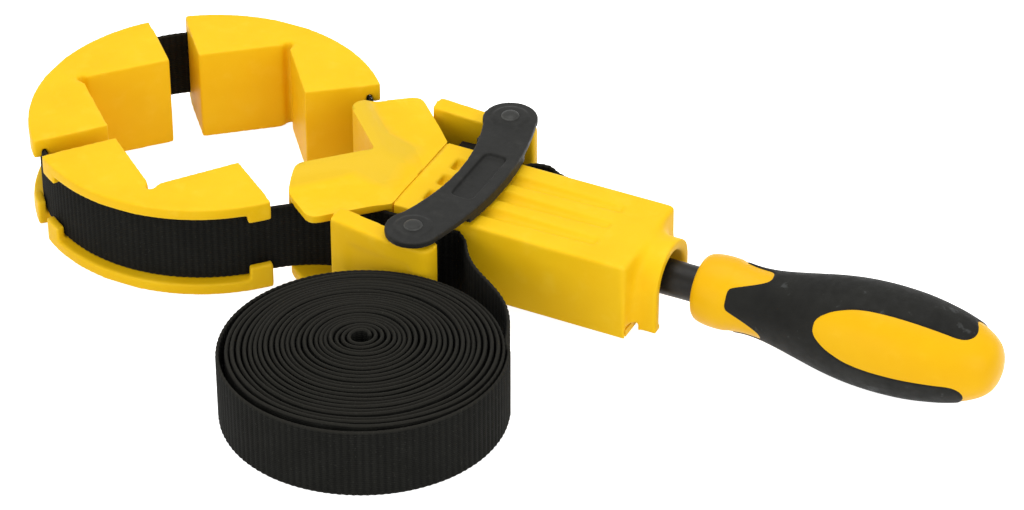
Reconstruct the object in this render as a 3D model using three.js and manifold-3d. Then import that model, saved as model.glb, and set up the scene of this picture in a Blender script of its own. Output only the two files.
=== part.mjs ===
// Screw-tightened band clamp: a webbing band round three corner jaws and a V jaw, with its spare band in a coil.
// Millimetres, +Z up. The clamp's screw runs along +X and the table is z = 0.
import * as THREE from 'three';
import { mergeVertices } from 'three/addons/utils/BufferGeometryUtils.js';
import Module from 'manifold-3d';

const wasm = await Module();
wasm.setup();

// Running gap between pieces that touch, and how far a cutting tool runs past the face that it cuts
const fit = 0.3;
const overrun = 2;

// Sides of a round piece, of a small round piece and of a handle
const roundSides = 24;
const smallSides = 12;
const handleSides = 24;

// The band: 25 mm webbing that stands on edge
const bandWidth = 25;
const bandThickness = 1.3;
const bandBase = 4.5;

// The loop: three corner jaws on a circle, with the free arcs beside the V jaw and between the jaws in degrees
const loopRadius = 60;
const flangeLip = 3.2;
const notchWall = 7.4;
const jawReliefRadius = 1.6;
const tabWidth = 8;
const upperTabDrop = 3;
const lowerTabDrop = 4.8;
const backStartAngle = 41;
const frontStartAngle = 40;
const backGapAngle = 12.3;
const frontGapAngle = 8.7;
const legSetbackAngle = 2.5;

// The V jaw, with its vertex, its two arms and its guide tail
const vertexX = 63.6;
const tipY = 19;
const jawRearX = 80.5;
const armReach = 20;
const armEndLength = 13.2;
const armEndWidth = 10;
const jawPlateThickness = 3;
const rimRise = 4;
const rimLand = 6;
const rimRamp = 4.5;
const tongueWidth = 27;
const tongueEndRise = 0.9;
const jawCornerRadius = 4.5;
const coreGap = 0.5;
const tailWidth = 22;
const tailHeight = 20;
const tailEndWall = 4;
const nutSide = 16;
const nutLength = 8;
const nutSetback = 23.5;
const jawTravel = 8;

// The housing and its bearings
const axisZ = 18.5;
const housingWidth = 40;
const housingBottomZ = 4.5;
const roofThickness = 3.4;
const wallThickness = 2.8;
const channelSpare = 10;
const railThickness = 2;
const bearingSetback = 2;
const bulkheadLength = 5.4;
const bushWall = 1.6;
const rearChamberLength = 10.6;
const grooveFrontMargin = 7.5;
const grooveRearMargin = 14.5;
const grooveSpacing = 10;
const grooveWidth = 6.6;
const grooveDepth = 1.7;
const grooveEndDepth = 0.6;
const grooveEndWidth = 4;
const hoodLength = 8;
const hoodWidth = 26.4;
const hoodWall = 4;
const hoodCornerRadius = 9;
const coveRadius = 4;
const coverThickness = 2.5;
const coverLedge = 1.5;
const screwInset = 5.5;
const screwEndInset = 6;
const screwHeadRadius = 2.6;
const screwShankRadius = 1.4;
const screwLength = 10;
const screwHeadHeight = 1.6;
const screwSlotWidth = 0.6;
const bossRadius = 3.4;

// The cheeks beside the housing; the slot between them widens towards the rear
const slotFrontWidth = 12.5;
const slotRearWidth = 15;
const cheekFrontThickness = 7.5;
const cheekRearThickness = 7;
const cheekFrontGap = 0.5;
const cheekNoseLead = 1;
const cheekLength = 24.5;
const cheekTopZ = 33.6;
const cheekCornerRadius = 1;
const cheekRearRadius = 5;
const cheekOverlap = 0.6;
const panelDepth = 0.6;
const panelMargin = 7;
const stepSetback = 2;

// The spindle and the handle
const spindleRadius = 6;
const threadRootRadius = 4.5;
const threadPitch = 4;
const threadSpare = 2;
const threadClearance = 0.45;
const collarLength = 4;
const collarRadius = 9.5;
const washerThickness = 2;
const shaftShowing = 10;
const handleLength = 103;
const handleMaxRadius = 17.4;
const socketDepth = 28;
const socketRoundDepth = 5;
const gripThickness = 2.4;
const gripFrontSetback = 14;
const gripRearSetback = 10.5;
const prongLength = 11.5;
const prongTipWidth = 5.2;
const prongBaseWidth = 8.8;
const prongTurnAngle = 60;
const windowSetback = 67;
const windowFrontReach = 22.5;
const windowBackReach = 30;
const windowHalfWidth = 11;
const windowTiltAngle = 26;

// The release bar and its two locking wedges
const rivetSetback = 8.8;
const rivetOffset = 15.4;
const rivetRadius = 2.2;
const rivetHeadRadius = 3.6;
const rivetHeadHeight = 1.1;
const barWidth = 19;
const barBow = 8;
const barWaist = 3;
const barThickness = 2.4;
const barClearance = 1;
const padRise = 0.6;
const padRadius = 9.3;
const padCollarRadius = 8.4;
const padSinkRadius = 4.8;
const badgeLength = 27;
const badgeWidth = 8;
const badgeDepth = 0.8;
const badgeShift = 2;
const badgeCornerRadius = 2.6;
const wedgeFrontSetback = 11;
const wedgeRearSetback = 6.4;
const wedgeHeight = 20.2;
const earThickness = 1;
const earFrontLength = 6.2;
const earOverhang = 5.8;
const toothPitch = 2.2;
const toothDepth = 0.7;

// The band's short end behind the housing, and the coil of spare band
const looseLift = 5;
const looseEndSetback = 12.5;
const coilEyeRadius = 2.1;
const coilClearance = 0.44;
const coilLoops = 24;
const coilStartAngle = 24;
const coilLead = 5;
const coilEndAngle = 25;
const stepsPerLoop = 24;

// The free tail's route, chosen by hand from the slot to the coil, at the middle of the band's lower edge
const tailRoute = [
  [105.3, -20.95, 4.5],
  [106.6, -21.3, 4.4],
  [108.1, -22.8, 4.25],
  [109.7, -25.3, 4],
  [111.9, -28.4, 3.7],
  [115, -31.9, 3.3],
  [118.8, -35, 2.9],
  [123, -37.6, 2.5],
  [127.2, -40.2, 2.1],
  [131.3, -43.2, 1.7],
  [134.9, -46.8, 1.3],
  [137.9, -51.2, 0.9],
  [140.2, -56, 0.5],
  [142, -60.4, 0.2],
  [143.4, -63.9, 0],
];

// Sizes that follow from the ones above
const flangeThickness = bandBase - fit;
const jawHeight = 2 * bandBase + bandWidth;
const bandTopZ = bandBase + bandWidth;
const bandRadius = loopRadius - flangeLip - bandThickness / 2;
const coreRadius = bandRadius - bandThickness / 2 - fit;
const notchRadius = coreRadius - notchWall;
const jawReach = (360 - backStartAngle - frontStartAngle - backGapAngle - frontGapAngle) / 6;
const jawPlaces = {
  back: backStartAngle + jawReach,
  left: backStartAngle + 3 * jawReach + backGapAngle,
  front: 360 - frontStartAngle - jawReach,
};
const housingHalf = housingWidth / 2;
const bandWallY = housingHalf + fit + bandThickness / 2;
const seamX = jawRearX + fit;
const tipX = vertexX - tipY;
const armCornerX = jawRearX - armReach;
const armCornerY = housingHalf + armReach;
const armEndX = armCornerX - armEndLength;
const armEndY = armCornerY - armEndWidth;
const jawTopZ = bandTopZ + fit + jawPlateThickness;
const rimTopZ = jawTopZ + rimRise;
const nutX = jawRearX + nutSetback;
const tailEndX = nutX + nutLength + tailEndWall;
const channelHalf = tailWidth / 2 + fit;
const channelTopZ = axisZ + tailHeight / 2 + fit;
const channelBottomZ = axisZ - tailHeight / 2 - fit;
const channelBackX = tailEndX + channelSpare;
const housingTopZ = channelTopZ + roofThickness;
const bushRadius = spindleRadius + fit + bushWall;
const saddleRadius = bushRadius + fit;
const bearingFrontX = channelBackX + bearingSetback;
const collarX = bearingFrontX + bulkheadLength + fit + washerThickness + fit;
const bearingRearX = collarX + collarLength + fit + washerThickness + fit;
const rearWallX = bearingRearX + bulkheadLength + rearChamberLength;
const housingRearX = rearWallX + bulkheadLength;
const hollowHalf = housingHalf - wallThickness;
const hollowFloorZ = housingBottomZ + coverThickness + fit;
const cheekRearX = jawRearX + cheekLength;
const cheekFrontX = jawRearX - slotFrontWidth + cheekFrontGap;
const cheekNoseX = cheekFrontX - cheekNoseLead;
const cheekFrontInnerY = housingHalf + slotFrontWidth;
const cheekRearInnerY = housingHalf + slotRearWidth;
const cheekFrontOuterY = cheekFrontInnerY + cheekFrontThickness;
const cheekRearOuterY = cheekRearInnerY + cheekRearThickness;
const housingStepX = cheekRearX - stepSetback;
const threadStartX = nutX - jawTravel - threadSpare;
const threadEndX = nutX + nutLength + threadSpare;
const spindleStartX = threadStartX - threadSpare;
const handleFrontX = housingRearX + hoodLength + shaftShowing;
const handleEndX = handleFrontX + handleLength;
const spindleHexX = handleFrontX + socketRoundDepth;
const spindleEndX = handleFrontX + socketDepth;
const gripFrontX = handleFrontX + gripFrontSetback;
const gripRearX = handleEndX - gripRearSetback;
const rivetX = cheekRearX - rivetSetback;
const rivetY = housingHalf + rivetOffset;
const barBottomZ = cheekTopZ + earThickness + 2 * fit;
const barTopZ = barBottomZ + barThickness;
const coilSpacing = bandThickness + coilClearance;
const coilMidRadius = coilEyeRadius + coilLoops * coilSpacing;

// The row's origin: the middle of the rigid clamp, on the table
const originX = (handleEndX - loopRadius) / 2;

const materials = {
  yellow: new THREE.MeshStandardMaterial({ color: 0xf9c80e, roughness: 0.45, metalness: 0 }),
  cover: new THREE.MeshStandardMaterial({ color: 0xe2b00c, roughness: 0.5, metalness: 0 }),
  charcoal: new THREE.MeshStandardMaterial({ color: 0x303133, roughness: 0.5, metalness: 0 }),
  grip: new THREE.MeshStandardMaterial({ color: 0x1f2021, roughness: 0.7, metalness: 0 }),
  webbing: new THREE.MeshStandardMaterial({ color: 0x161616, roughness: 0.9, metalness: 0 }),
  steel: new THREE.MeshStandardMaterial({ color: 0x8d9095, roughness: 0.35, metalness: 1 }),
  blackSteel: new THREE.MeshStandardMaterial({ color: 0x232324, roughness: 0.4, metalness: 0.6 }),
  bronze: new THREE.MeshStandardMaterial({ color: 0xb08d57, roughness: 0.4, metalness: 1 }),
};

const radians = THREE.MathUtils.degToRad;
const polar = (radius, degrees) => [radius * Math.cos(radians(degrees)), radius * Math.sin(radians(degrees))];

// Solids

function solidFrom(vertices, triangles) {
  const mesh = new wasm.Mesh({
    numProp: 3,
    vertProperties: Float32Array.from(vertices),
    triVerts: Uint32Array.from(triangles),
  });
  return new wasm.Manifold(mesh);
}

function solid(geometry) {
  const bare = geometry.clone();
  bare.deleteAttribute('normal');
  bare.deleteAttribute('uv');
  const merged = mergeVertices(bare);
  const index = Array.from(merged.index.array);
  const triangles = [];
  for (let i = 0; i < index.length; i += 3) {
    const [a, b, c] = index.slice(i, i + 3);
    if (a !== b && b !== c && a !== c) triangles.push(a, b, c);
  }
  const made = solidFrom(merged.attributes.position.array, triangles);
  if (made.volume() > 0) return made;
  return solidFrom(merged.attributes.position.array, triangles.reverse());
}

function outline(points) {
  const shape = new THREE.Shape();
  points.forEach(([x, y], i) => (i ? shape.lineTo(x, y) : shape.moveTo(x, y)));
  return shape;
}

// A polygon whose corners are rounded; each point is [x, y, radius]
function roundedOutline(points, arcSteps = 5) {
  const out = [];
  points.forEach(([x, y, radius = 0], i) => {
    const before = points[(i + points.length - 1) % points.length];
    const after = points[(i + 1) % points.length];
    const toBefore = new THREE.Vector2(before[0] - x, before[1] - y).normalize();
    const toAfter = new THREE.Vector2(after[0] - x, after[1] - y).normalize();
    if (!radius) return out.push([x, y]);
    const half = Math.acos(THREE.MathUtils.clamp(toBefore.dot(toAfter), -1, 1)) / 2;
    const setback = radius / Math.tan(half);
    const start = new THREE.Vector2(x, y).addScaledVector(toBefore, setback);
    const end = new THREE.Vector2(x, y).addScaledVector(toAfter, setback);
    const curve = new THREE.QuadraticBezierCurve(start, new THREE.Vector2(x, y), end);
    curve.getPoints(arcSteps).forEach((p) => out.push([p.x, p.y]));
  });
  return outline(out);
}

// A flat outline in X and Y, made thick from z0 to z1
function slab(shape, z0, z1) {
  const geometry = new THREE.ExtrudeGeometry(shape, { depth: z1 - z0, bevelEnabled: false, curveSegments: 12 });
  geometry.translate(0, 0, z0);
  return solid(geometry);
}

// A flat outline in Y and Z, made long from x0 to x1
function bar(shape, x0, x1) {
  const geometry = new THREE.ExtrudeGeometry(shape, { depth: x1 - x0, bevelEnabled: false, curveSegments: 12 });
  geometry.applyMatrix4(new THREE.Matrix4().set(0, 0, 1, x0, 1, 0, 0, 0, 0, 1, 0, 0, 0, 0, 0, 1));
  return solid(geometry);
}

function block(x0, x1, y0, y1, z0, z1) {
  const geometry = new THREE.BoxGeometry(x1 - x0, y1 - y0, z1 - z0);
  geometry.translate((x0 + x1) / 2, (y0 + y1) / 2, (z0 + z1) / 2);
  return solid(geometry);
}

// A turned piece on the screw's axis; the profile is [x, radius] from axis to axis
function turned(profile, sides = roundSides) {
  const points = profile.map(([x, radius]) => new THREE.Vector2(radius, x));
  const geometry = new THREE.LatheGeometry(points, sides);
  geometry.rotateZ(-Math.PI / 2);
  geometry.rotateX(Math.PI / sides);
  geometry.translate(0, 0, axisZ);
  return solid(geometry);
}

const rod = (x0, x1, radius, sides = roundSides) => turned([[x0, 0], [x0, radius], [x1, radius], [x1, 0]], sides);
const ring = (x0, x1, inner, outer) => rod(x0, x1, outer).subtract(rod(x0 - overrun, x1 + overrun, inner));

function post(x, y, z0, z1, radius, topRadius = radius, sides = roundSides) {
  const geometry = new THREE.CylinderGeometry(topRadius, radius, z1 - z0, sides);
  geometry.rotateX(Math.PI / 2);
  geometry.translate(x, y, (z0 + z1) / 2);
  return solid(geometry);
}

const union = (...solids) => solids.reduce((all, next) => all.add(next));
const mirrorY = (made) => made.mirror([0, 1, 0]);
const bothSides = (made) => made.add(mirrorY(made));

// A band on edge through its stations; each is [x, y, z] at the middle of its lower edge
function ribbon(stations) {
  const vertices = [];
  const triangles = [];
  stations.forEach(([x, y, z], i) => {
    const [ax, ay] = stations[Math.max(i - 1, 0)];
    const [bx, by] = stations[Math.min(i + 1, stations.length - 1)];
    const length = Math.hypot(bx - ax, by - ay);
    const nx = (-(by - ay) / length) * (bandThickness / 2);
    const ny = ((bx - ax) / length) * (bandThickness / 2);
    vertices.push(x + nx, y + ny, z, x + nx, y + ny, z + bandWidth);
    vertices.push(x - nx, y - ny, z + bandWidth, x - nx, y - ny, z);
  });
  const quad = (a, b, c, d) => triangles.push(a, b, c, a, c, d);
  for (let i = 0; i + 1 < stations.length; i += 1) {
    const here = 4 * i;
    const next = here + 4;
    for (let k = 0; k < 4; k += 1) quad(here + k, here + ((k + 1) % 4), next + ((k + 1) % 4), next + k);
  }
  const last = 4 * (stations.length - 1);
  quad(3, 2, 1, 0);
  quad(last, last + 1, last + 2, last + 3);
  return solidFrom(vertices, triangles);
}

const smooth = (points, steps) =>
  new THREE.CatmullRomCurve3(points.map((p) => new THREE.Vector3(...p)), false, 'centripetal')
    .getPoints(steps)
    .map((p) => [p.x, p.y, p.z]);

// The scene

const clamp = new THREE.Group();
clamp.name = 'band_clamp';
clamp.position.x = -originX;

function place(name, made, material) {
  const { vertProperties, triVerts } = made.getMesh();
  const geometry = new THREE.BufferGeometry();
  geometry.setAttribute('position', new THREE.BufferAttribute(Float32Array.from(vertProperties), 3));
  geometry.setIndex(Array.from(triVerts));
  geometry.computeVertexNormals();
  const mesh = new THREE.Mesh(geometry, material);
  mesh.name = name;
  clamp.add(mesh);
}

// Corner jaws: an arc outside, a square notch inside, a band channel between two flanges

function jawOutline(outerRadius) {
  const arcSteps = 24;
  const legAngle = radians(jawReach - legSetbackAngle);
  const legEnd = (notchRadius * Math.sin(legAngle)) / (Math.sin(legAngle) + Math.cos(legAngle));
  const points = [];
  for (let i = 0; i <= arcSteps; i += 1) points.push(polar(outerRadius, 90 - jawReach + (2 * jawReach * i) / arcSteps));
  points.push([-legEnd, notchRadius - legEnd], [0, notchRadius], [legEnd, notchRadius - legEnd]);
  return outline(points);
}

function tabs() {
  const tabSteps = 3;
  const reach = THREE.MathUtils.radToDeg(tabWidth / loopRadius);
  const inner = bandRadius + bandThickness / 2 + fit;
  const points = [];
  for (let i = 0; i <= tabSteps; i += 1) points.push(polar(loopRadius, 90 - jawReach + (reach * i) / tabSteps));
  for (let i = tabSteps; i >= 0; i -= 1) points.push(polar(inner, 90 - jawReach + (reach * i) / tabSteps));
  const shape = outline(points);
  const upper = slab(shape, jawHeight - flangeThickness - upperTabDrop, jawHeight - flangeThickness / 2);
  const lower = slab(shape, flangeThickness / 2, flangeThickness + lowerTabDrop);
  const pair = upper.add(lower);
  return pair.add(pair.mirror([1, 0, 0]));
}

function cornerJaw(place) {
  const core = slab(jawOutline(coreRadius), 0, jawHeight);
  const plate = jawOutline(loopRadius);
  const lower = slab(plate, 0, flangeThickness);
  const upper = slab(plate, jawHeight - flangeThickness, jawHeight);
  const relief = post(0, notchRadius, -overrun, jawHeight + overrun, jawReliefRadius, jawReliefRadius, smallSides);
  return union(core, lower, upper, tabs()).subtract(relief).rotate([0, 0, place - 90]);
}

// The V jaw with its guide tail and the nut that the screw pulls

// From a jaw's end to the slot beside the housing, in the free run that the slack band takes
function approach(jawAngle, side) {
  const [endX, endY] = polar(bandRadius, jawAngle);
  const runX = seamX - endX;
  const runY = Math.abs(endY) - bandWallY;
  const runShares = [[0.19, 0.61], [0.38, 0.36], [0.62, 0.17], [0.84, 0.03]];
  return runShares.map(([along, across]) => [endX + runX * along, side * (bandWallY + runY * across)]);
}

// The room inside the band, so that the V jaw's core stays clear of it
function insideBand() {
  const away = bandThickness / 2 + coreGap;
  const run = (jawAngle, side) =>
    [polar(bandRadius, jawAngle), ...approach(jawAngle, side)].map(([x, y]) => [x, y - side * away]);
  const rear = bandWallY - away;
  return slab(outline([
    ...run(-frontStartAngle, -1),
    [seamX, -rear],
    [seamX, rear],
    ...run(backStartAngle, 1).reverse(),
  ]), 0, jawHeight);
}

function vPlan(cornerRadius) {
  return roundedOutline([
    [vertexX, 0],
    [tipX, -tipY, cornerRadius],
    [armEndX, -armEndY, cornerRadius],
    [armCornerX, -armCornerY, cornerRadius],
    [jawRearX, -housingHalf],
    [jawRearX, housingHalf],
    [armCornerX, armCornerY, cornerRadius],
    [armEndX, armEndY, cornerRadius],
    [tipX, tipY, cornerRadius],
  ]);
}

// The raised top: a broad rim behind each side of the V, and a tongue from its vertex to the housing
function vRim() {
  const before = jawRearX - vertexX;
  const length = before + Math.hypot(vertexX - tipX, tipY) + armEndWidth;
  const section = outline([
    [0, 0],
    [0, rimTopZ],
    [-rimLand, rimTopZ],
    [-rimLand - rimRamp, jawTopZ],
    [-rimLand - rimRamp, 0],
  ]);
  const geometry = new THREE.ExtrudeGeometry(section, { depth: length, bevelEnabled: false });
  geometry.rotateX(Math.PI / 2);
  geometry.translate(0, before, 0);
  geometry.rotateZ(Math.atan2(vertexX - tipX, tipY) + Math.PI);
  geometry.translate(vertexX, 0, 0);
  const half = solid(geometry).intersect(block(-loopRadius, jawRearX, 0, loopRadius, 0, rimTopZ));
  const foot = tongueWidth / 2 + rimRamp / 2;
  const tongue = bar(outline([
    [-foot, 0],
    [foot, 0],
    [foot, jawTopZ],
    [foot - rimRamp, rimTopZ],
    [rimRamp - foot, rimTopZ],
    [-foot, jawTopZ],
  ]), vertexX, jawRearX);
  const slopeStartX = vertexX + rimLand;
  const tilt = Math.atan2(rimRise - tongueEndRise, jawRearX - slopeStartX);
  const slope = block(0, 2 * (jawRearX - slopeStartX), -loopRadius, loopRadius, 0, loopRadius)
    .rotate([0, THREE.MathUtils.radToDeg(tilt), 0])
    .translate([slopeStartX, 0, rimTopZ]);
  return bothSides(half).add(tongue).subtract(slope).intersect(slab(vPlan(jawCornerRadius), 0, rimTopZ + overrun));
}

function threadRidge(x0, x1, crest, root, grow) {
  const stepsPerTurn = 12;
  const turns = (x1 - x0) / threadPitch;
  const steps = Math.round(turns * stepsPerTurn);
  const crestHalf = threadPitch / 10 + grow;
  const rootHalf = threadPitch / 4 + grow;
  const vertices = [];
  const triangles = [];
  for (let i = 0; i <= steps; i += 1) {
    const x = x0 + ((x1 - x0) * i) / steps;
    const angle = (-2 * Math.PI * (x - threadStartX)) / threadPitch;
    const at = (along, radius) =>
      vertices.push(x + along, radius * Math.cos(angle), axisZ + radius * Math.sin(angle));
    at(-rootHalf, root);
    at(-crestHalf, crest);
    at(crestHalf, crest);
    at(rootHalf, root);
  }
  const quad = (a, b, c, d) => triangles.push(a, b, c, a, c, d);
  for (let i = 0; i < steps; i += 1) {
    const here = 4 * i;
    for (let k = 0; k < 4; k += 1) quad(here + k, here + ((k + 1) % 4), here + 4 + ((k + 1) % 4), here + 4 + k);
  }
  const last = 4 * steps;
  quad(3, 2, 1, 0);
  quad(last, last + 1, last + 2, last + 3);
  const made = solidFrom(vertices, triangles);
  return made.volume() > 0 ? made : solidFrom(vertices, triangles.reverse());
}

function vJaw() {
  const core = slab(vPlan(jawCornerRadius), 0, jawTopZ).intersect(insideBand());
  const lower = slab(vPlan(jawCornerRadius), 0, flangeThickness);
  const upper = slab(vPlan(jawCornerRadius), jawTopZ - jawPlateThickness, jawTopZ);
  const tail = block(jawRearX - overrun, tailEndX, -tailWidth / 2, tailWidth / 2,
    axisZ - tailHeight / 2, axisZ + tailHeight / 2);
  const bore = rod(spindleStartX - jawTravel, tailEndX + overrun, spindleRadius + 2 * fit);
  const pocket = block(nutX - fit, nutX + nutLength + fit, -nutSide / 2 - fit, nutSide / 2 + fit,
    axisZ - tailHeight / 2 - overrun, axisZ + nutSide / 2 + fit);
  return union(core, lower, upper, vRim()).add(tail).subtract(bore).subtract(pocket);
}

function nut() {
  const body = block(nutX, nutX + nutLength, -nutSide / 2, nutSide / 2, axisZ - nutSide / 2, axisZ + nutSide / 2);
  const grow = threadClearance;
  const from = nutX - threadPitch / 2;
  const to = nutX + nutLength + threadPitch / 2;
  const hole = rod(nutX - overrun, nutX + nutLength + overrun, threadRootRadius + grow);
  return body.subtract(hole).subtract(threadRidge(from, to, spindleRadius + grow, threadRootRadius - grow, grow));
}

// The housing: a box with a guide channel, two cheeks on a floor plate, a hood over the screw, and its cover

function cheek() {
  const plan = roundedOutline([
    [cheekFrontX, cheekFrontInnerY, cheekCornerRadius],
    [cheekNoseX, cheekFrontOuterY, cheekCornerRadius],
    [cheekRearX, cheekRearOuterY, cheekRearRadius],
    [cheekRearX, cheekRearInnerY, cheekCornerRadius],
  ]);
  const run = cheekRearX - cheekNoseX;
  const flare = Math.atan2(cheekRearOuterY - cheekFrontOuterY, run);
  const panel = block(panelMargin, run - panelMargin, -panelDepth, overrun,
    bandBase + fit, cheekTopZ - panelMargin)
    .rotate([0, 0, THREE.MathUtils.radToDeg(flare)])
    .translate([cheekNoseX, cheekFrontOuterY, 0]);
  return slab(plan, 0, cheekTopZ).subtract(panel);
}

function groove(y) {
  const radius = (depth, width) => (width * width) / (8 * depth) + depth / 2;
  const startRadius = radius(grooveDepth, grooveWidth);
  const endRadius = radius(grooveEndDepth, grooveEndWidth);
  const startX = jawRearX + grooveFrontMargin;
  const length = housingRearX - grooveRearMargin - startX;
  const geometry = new THREE.CylinderGeometry(endRadius, startRadius, length, 2 * roundSides);
  geometry.rotateZ(-Math.PI / 2);
  geometry.translate(length / 2, 0, 0);
  const startLift = startRadius - grooveDepth;
  const endLift = endRadius - grooveEndDepth;
  return solid(geometry)
    .rotate([0, THREE.MathUtils.radToDeg(-Math.atan2(endLift - startLift, length)), 0])
    .translate([startX, y, housingTopZ + startLift]);
}

function hood() {
  const half = hoodWidth / 2;
  const shape = roundedOutline([
    [-half, housingBottomZ],
    [half, housingBottomZ],
    [half, housingTopZ - fit, hoodCornerRadius],
    [-half, housingTopZ - fit, hoodCornerRadius],
  ]);
  const cove = (side) => {
    const y = side * (half + coveRadius);
    return block(housingRearX - overrun, housingRearX + coveRadius, Math.min(side * half, y), Math.max(side * half, y),
      housingBottomZ, housingTopZ - hoodCornerRadius)
      .subtract(post(housingRearX + coveRadius, y, 0, housingTopZ, coveRadius));
  };
  return union(bar(shape, housingRearX - overrun, housingRearX + hoodLength), cove(1), cove(-1));
}

const screwPlaces = [
  [bearingFrontX + bulkheadLength / 2, 1],
  [bearingFrontX + bulkheadLength / 2, -1],
  [rearWallX - screwEndInset, 1],
  [rearWallX - screwEndInset, -1],
].map(([x, side]) => [x, side * (housingHalf - screwInset)]);

function housingShell() {
  const box = union(
    block(seamX, housingStepX, -housingHalf, housingHalf, 0, housingTopZ),
    block(seamX, housingRearX, -housingHalf, housingHalf, housingBottomZ, housingTopZ),
    block(seamX, housingStepX, -cheekRearInnerY - cheekOverlap, cheekRearInnerY + cheekOverlap, 0, flangeThickness),
    bothSides(cheek()),
    hood(),
  );
  const guide = block(seamX - overrun, channelBackX, -channelHalf, channelHalf, channelBottomZ, channelTopZ);
  const ceilingZ = housingTopZ - wallThickness;
  const hollow = block(housingStepX + wallThickness, rearWallX, -hollowHalf, hollowHalf,
    hollowFloorZ - overrun, ceilingZ);
  const rail = block(housingStepX, channelBackX, channelHalf, channelHalf + railThickness, 0, housingTopZ);
  const bulkheads = union(
    block(bearingFrontX, bearingFrontX + bulkheadLength, -housingHalf, housingHalf, 0, housingTopZ),
    block(bearingRearX, bearingRearX + bulkheadLength, -housingHalf, housingHalf, 0, housingTopZ),
  );
  const bosses = screwPlaces.map(([x, y]) => post(x, y, 0, housingTopZ, bossRadius, bossRadius, smallSides));
  const rooms = hollow.subtract(union(bothSides(rail), bulkheads, ...bosses));
  const recessHalf = hollowHalf + coverLedge;
  const recess = block(housingStepX + fit, housingRearX + overrun, -recessHalf, recessHalf,
    housingBottomZ - overrun, hollowFloorZ);
  const saddles = union(
    block(bearingFrontX - overrun, housingRearX + hoodLength + overrun, -saddleRadius, saddleRadius,
      housingBottomZ - overrun, axisZ),
    rod(bearingFrontX - overrun, housingRearX + hoodLength + overrun, saddleRadius),
  );
  const mouth = union(
    block(housingRearX, housingRearX + hoodLength + overrun, -hoodWidth / 2 + hoodWall, hoodWidth / 2 - hoodWall,
      housingBottomZ - overrun, axisZ),
    rod(housingRearX, housingRearX + hoodLength + overrun, hoodWidth / 2 - hoodWall),
  );
  const pilots = screwPlaces.map(([x, y]) =>
    post(x, y, housingBottomZ, hollowFloorZ + screwLength + fit, screwShankRadius + fit, screwShankRadius + fit,
      smallSides));
  const grooves = [-grooveSpacing, 0, grooveSpacing].map(groove);
  return box.subtract(union(guide, rooms, recess, saddles, mouth, ...pilots, ...grooves));
}

function baseCover() {
  const half = hollowHalf + coverLedge - fit;
  const topZ = housingBottomZ + coverThickness;
  const plate = block(housingStepX + 2 * fit, housingRearX, -half, half, housingBottomZ, topZ);
  const pad = block(housingStepX + wallThickness + fit, channelBackX, -channelHalf + fit, channelHalf - fit,
    housingBottomZ, channelBottomZ);
  const saddleTopZ = axisZ - bushRadius - fit;
  const saddle = (x0, x1) => block(x0 + fit, x1 - fit, -bushRadius, bushRadius, housingBottomZ, saddleTopZ);
  const holes = screwPlaces.map(([x, y]) => union(
    post(x, y, housingBottomZ - overrun, topZ + overrun, screwShankRadius + fit, screwShankRadius + fit,
      smallSides),
    post(x, y, housingBottomZ - overrun, housingBottomZ + screwHeadHeight + fit, screwHeadRadius + fit,
      screwHeadRadius + fit, smallSides),
  ));
  return union(
    plate,
    pad,
    saddle(bearingFrontX, bearingFrontX + bulkheadLength),
    saddle(bearingRearX, bearingRearX + bulkheadLength),
    saddle(rearWallX, housingRearX + fit),
  ).subtract(union(...holes));
}

function coverScrew(x, y) {
  const headTopZ = housingBottomZ + screwHeadHeight;
  const endZ = housingBottomZ + coverThickness + screwLength;
  const head = post(x, y, housingBottomZ, headTopZ, screwHeadRadius, screwHeadRadius, smallSides);
  const shank = post(x, y, housingBottomZ, endZ, screwShankRadius, screwShankRadius, smallSides);
  const slot = block(x - screwHeadRadius, x + screwHeadRadius, y - screwSlotWidth / 2, y + screwSlotWidth / 2,
    housingBottomZ - overrun, housingBottomZ + screwHeadHeight / 2);
  return head.add(shank).subtract(slot);
}

const bush = (x0) => ring(x0 + fit, x0 + bulkheadLength - fit, spindleRadius + fit, bushRadius);

// The spindle turns in place; the handle is moulded on its six-sided end

function spindle() {
  const shaft = turned([
    [spindleStartX, 0],
    [spindleStartX, threadRootRadius],
    [threadEndX + threadPitch / 2, threadRootRadius],
    [threadEndX + threadPitch, spindleRadius],
    [collarX, spindleRadius],
    [collarX, collarRadius],
    [collarX + collarLength, collarRadius],
    [collarX + collarLength, spindleRadius],
    [spindleHexX, spindleRadius],
    [spindleHexX, 0],
  ]);
  const hex = rod(spindleHexX - overrun, spindleEndX, spindleRadius, 6);
  return union(shaft, hex, threadRidge(threadStartX, threadEndX, spindleRadius, threadRootRadius - fit, 0));
}

// The handle's outline, as shares of its length and of its greatest radius
const handleProfileShares = [
  [0, 0.55],
  [0.02, 0.665],
  [0.08, 0.69],
  [0.17, 0.645],
  [0.24, 0.665],
  [0.33, 0.765],
  [0.43, 0.89],
  [0.53, 0.975],
  [0.62, 1],
  [0.71, 0.98],
  [0.8, 0.9],
  [0.88, 0.79],
  [0.94, 0.65],
  [0.98, 0.42],
];

const handlePlace = ([along, across], less = 0) =>
  [handleFrontX + along * (handleEndX - handleFrontX), across * handleMaxRadius - less];

function handleBody(less) {
  const profile = handleProfileShares.map((share) => handlePlace(share, less)).filter(([, radius]) => radius > 0);
  return turned([[profile[0][0], 0], ...profile, [handleEndX - less, 0]], handleSides);
}

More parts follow.
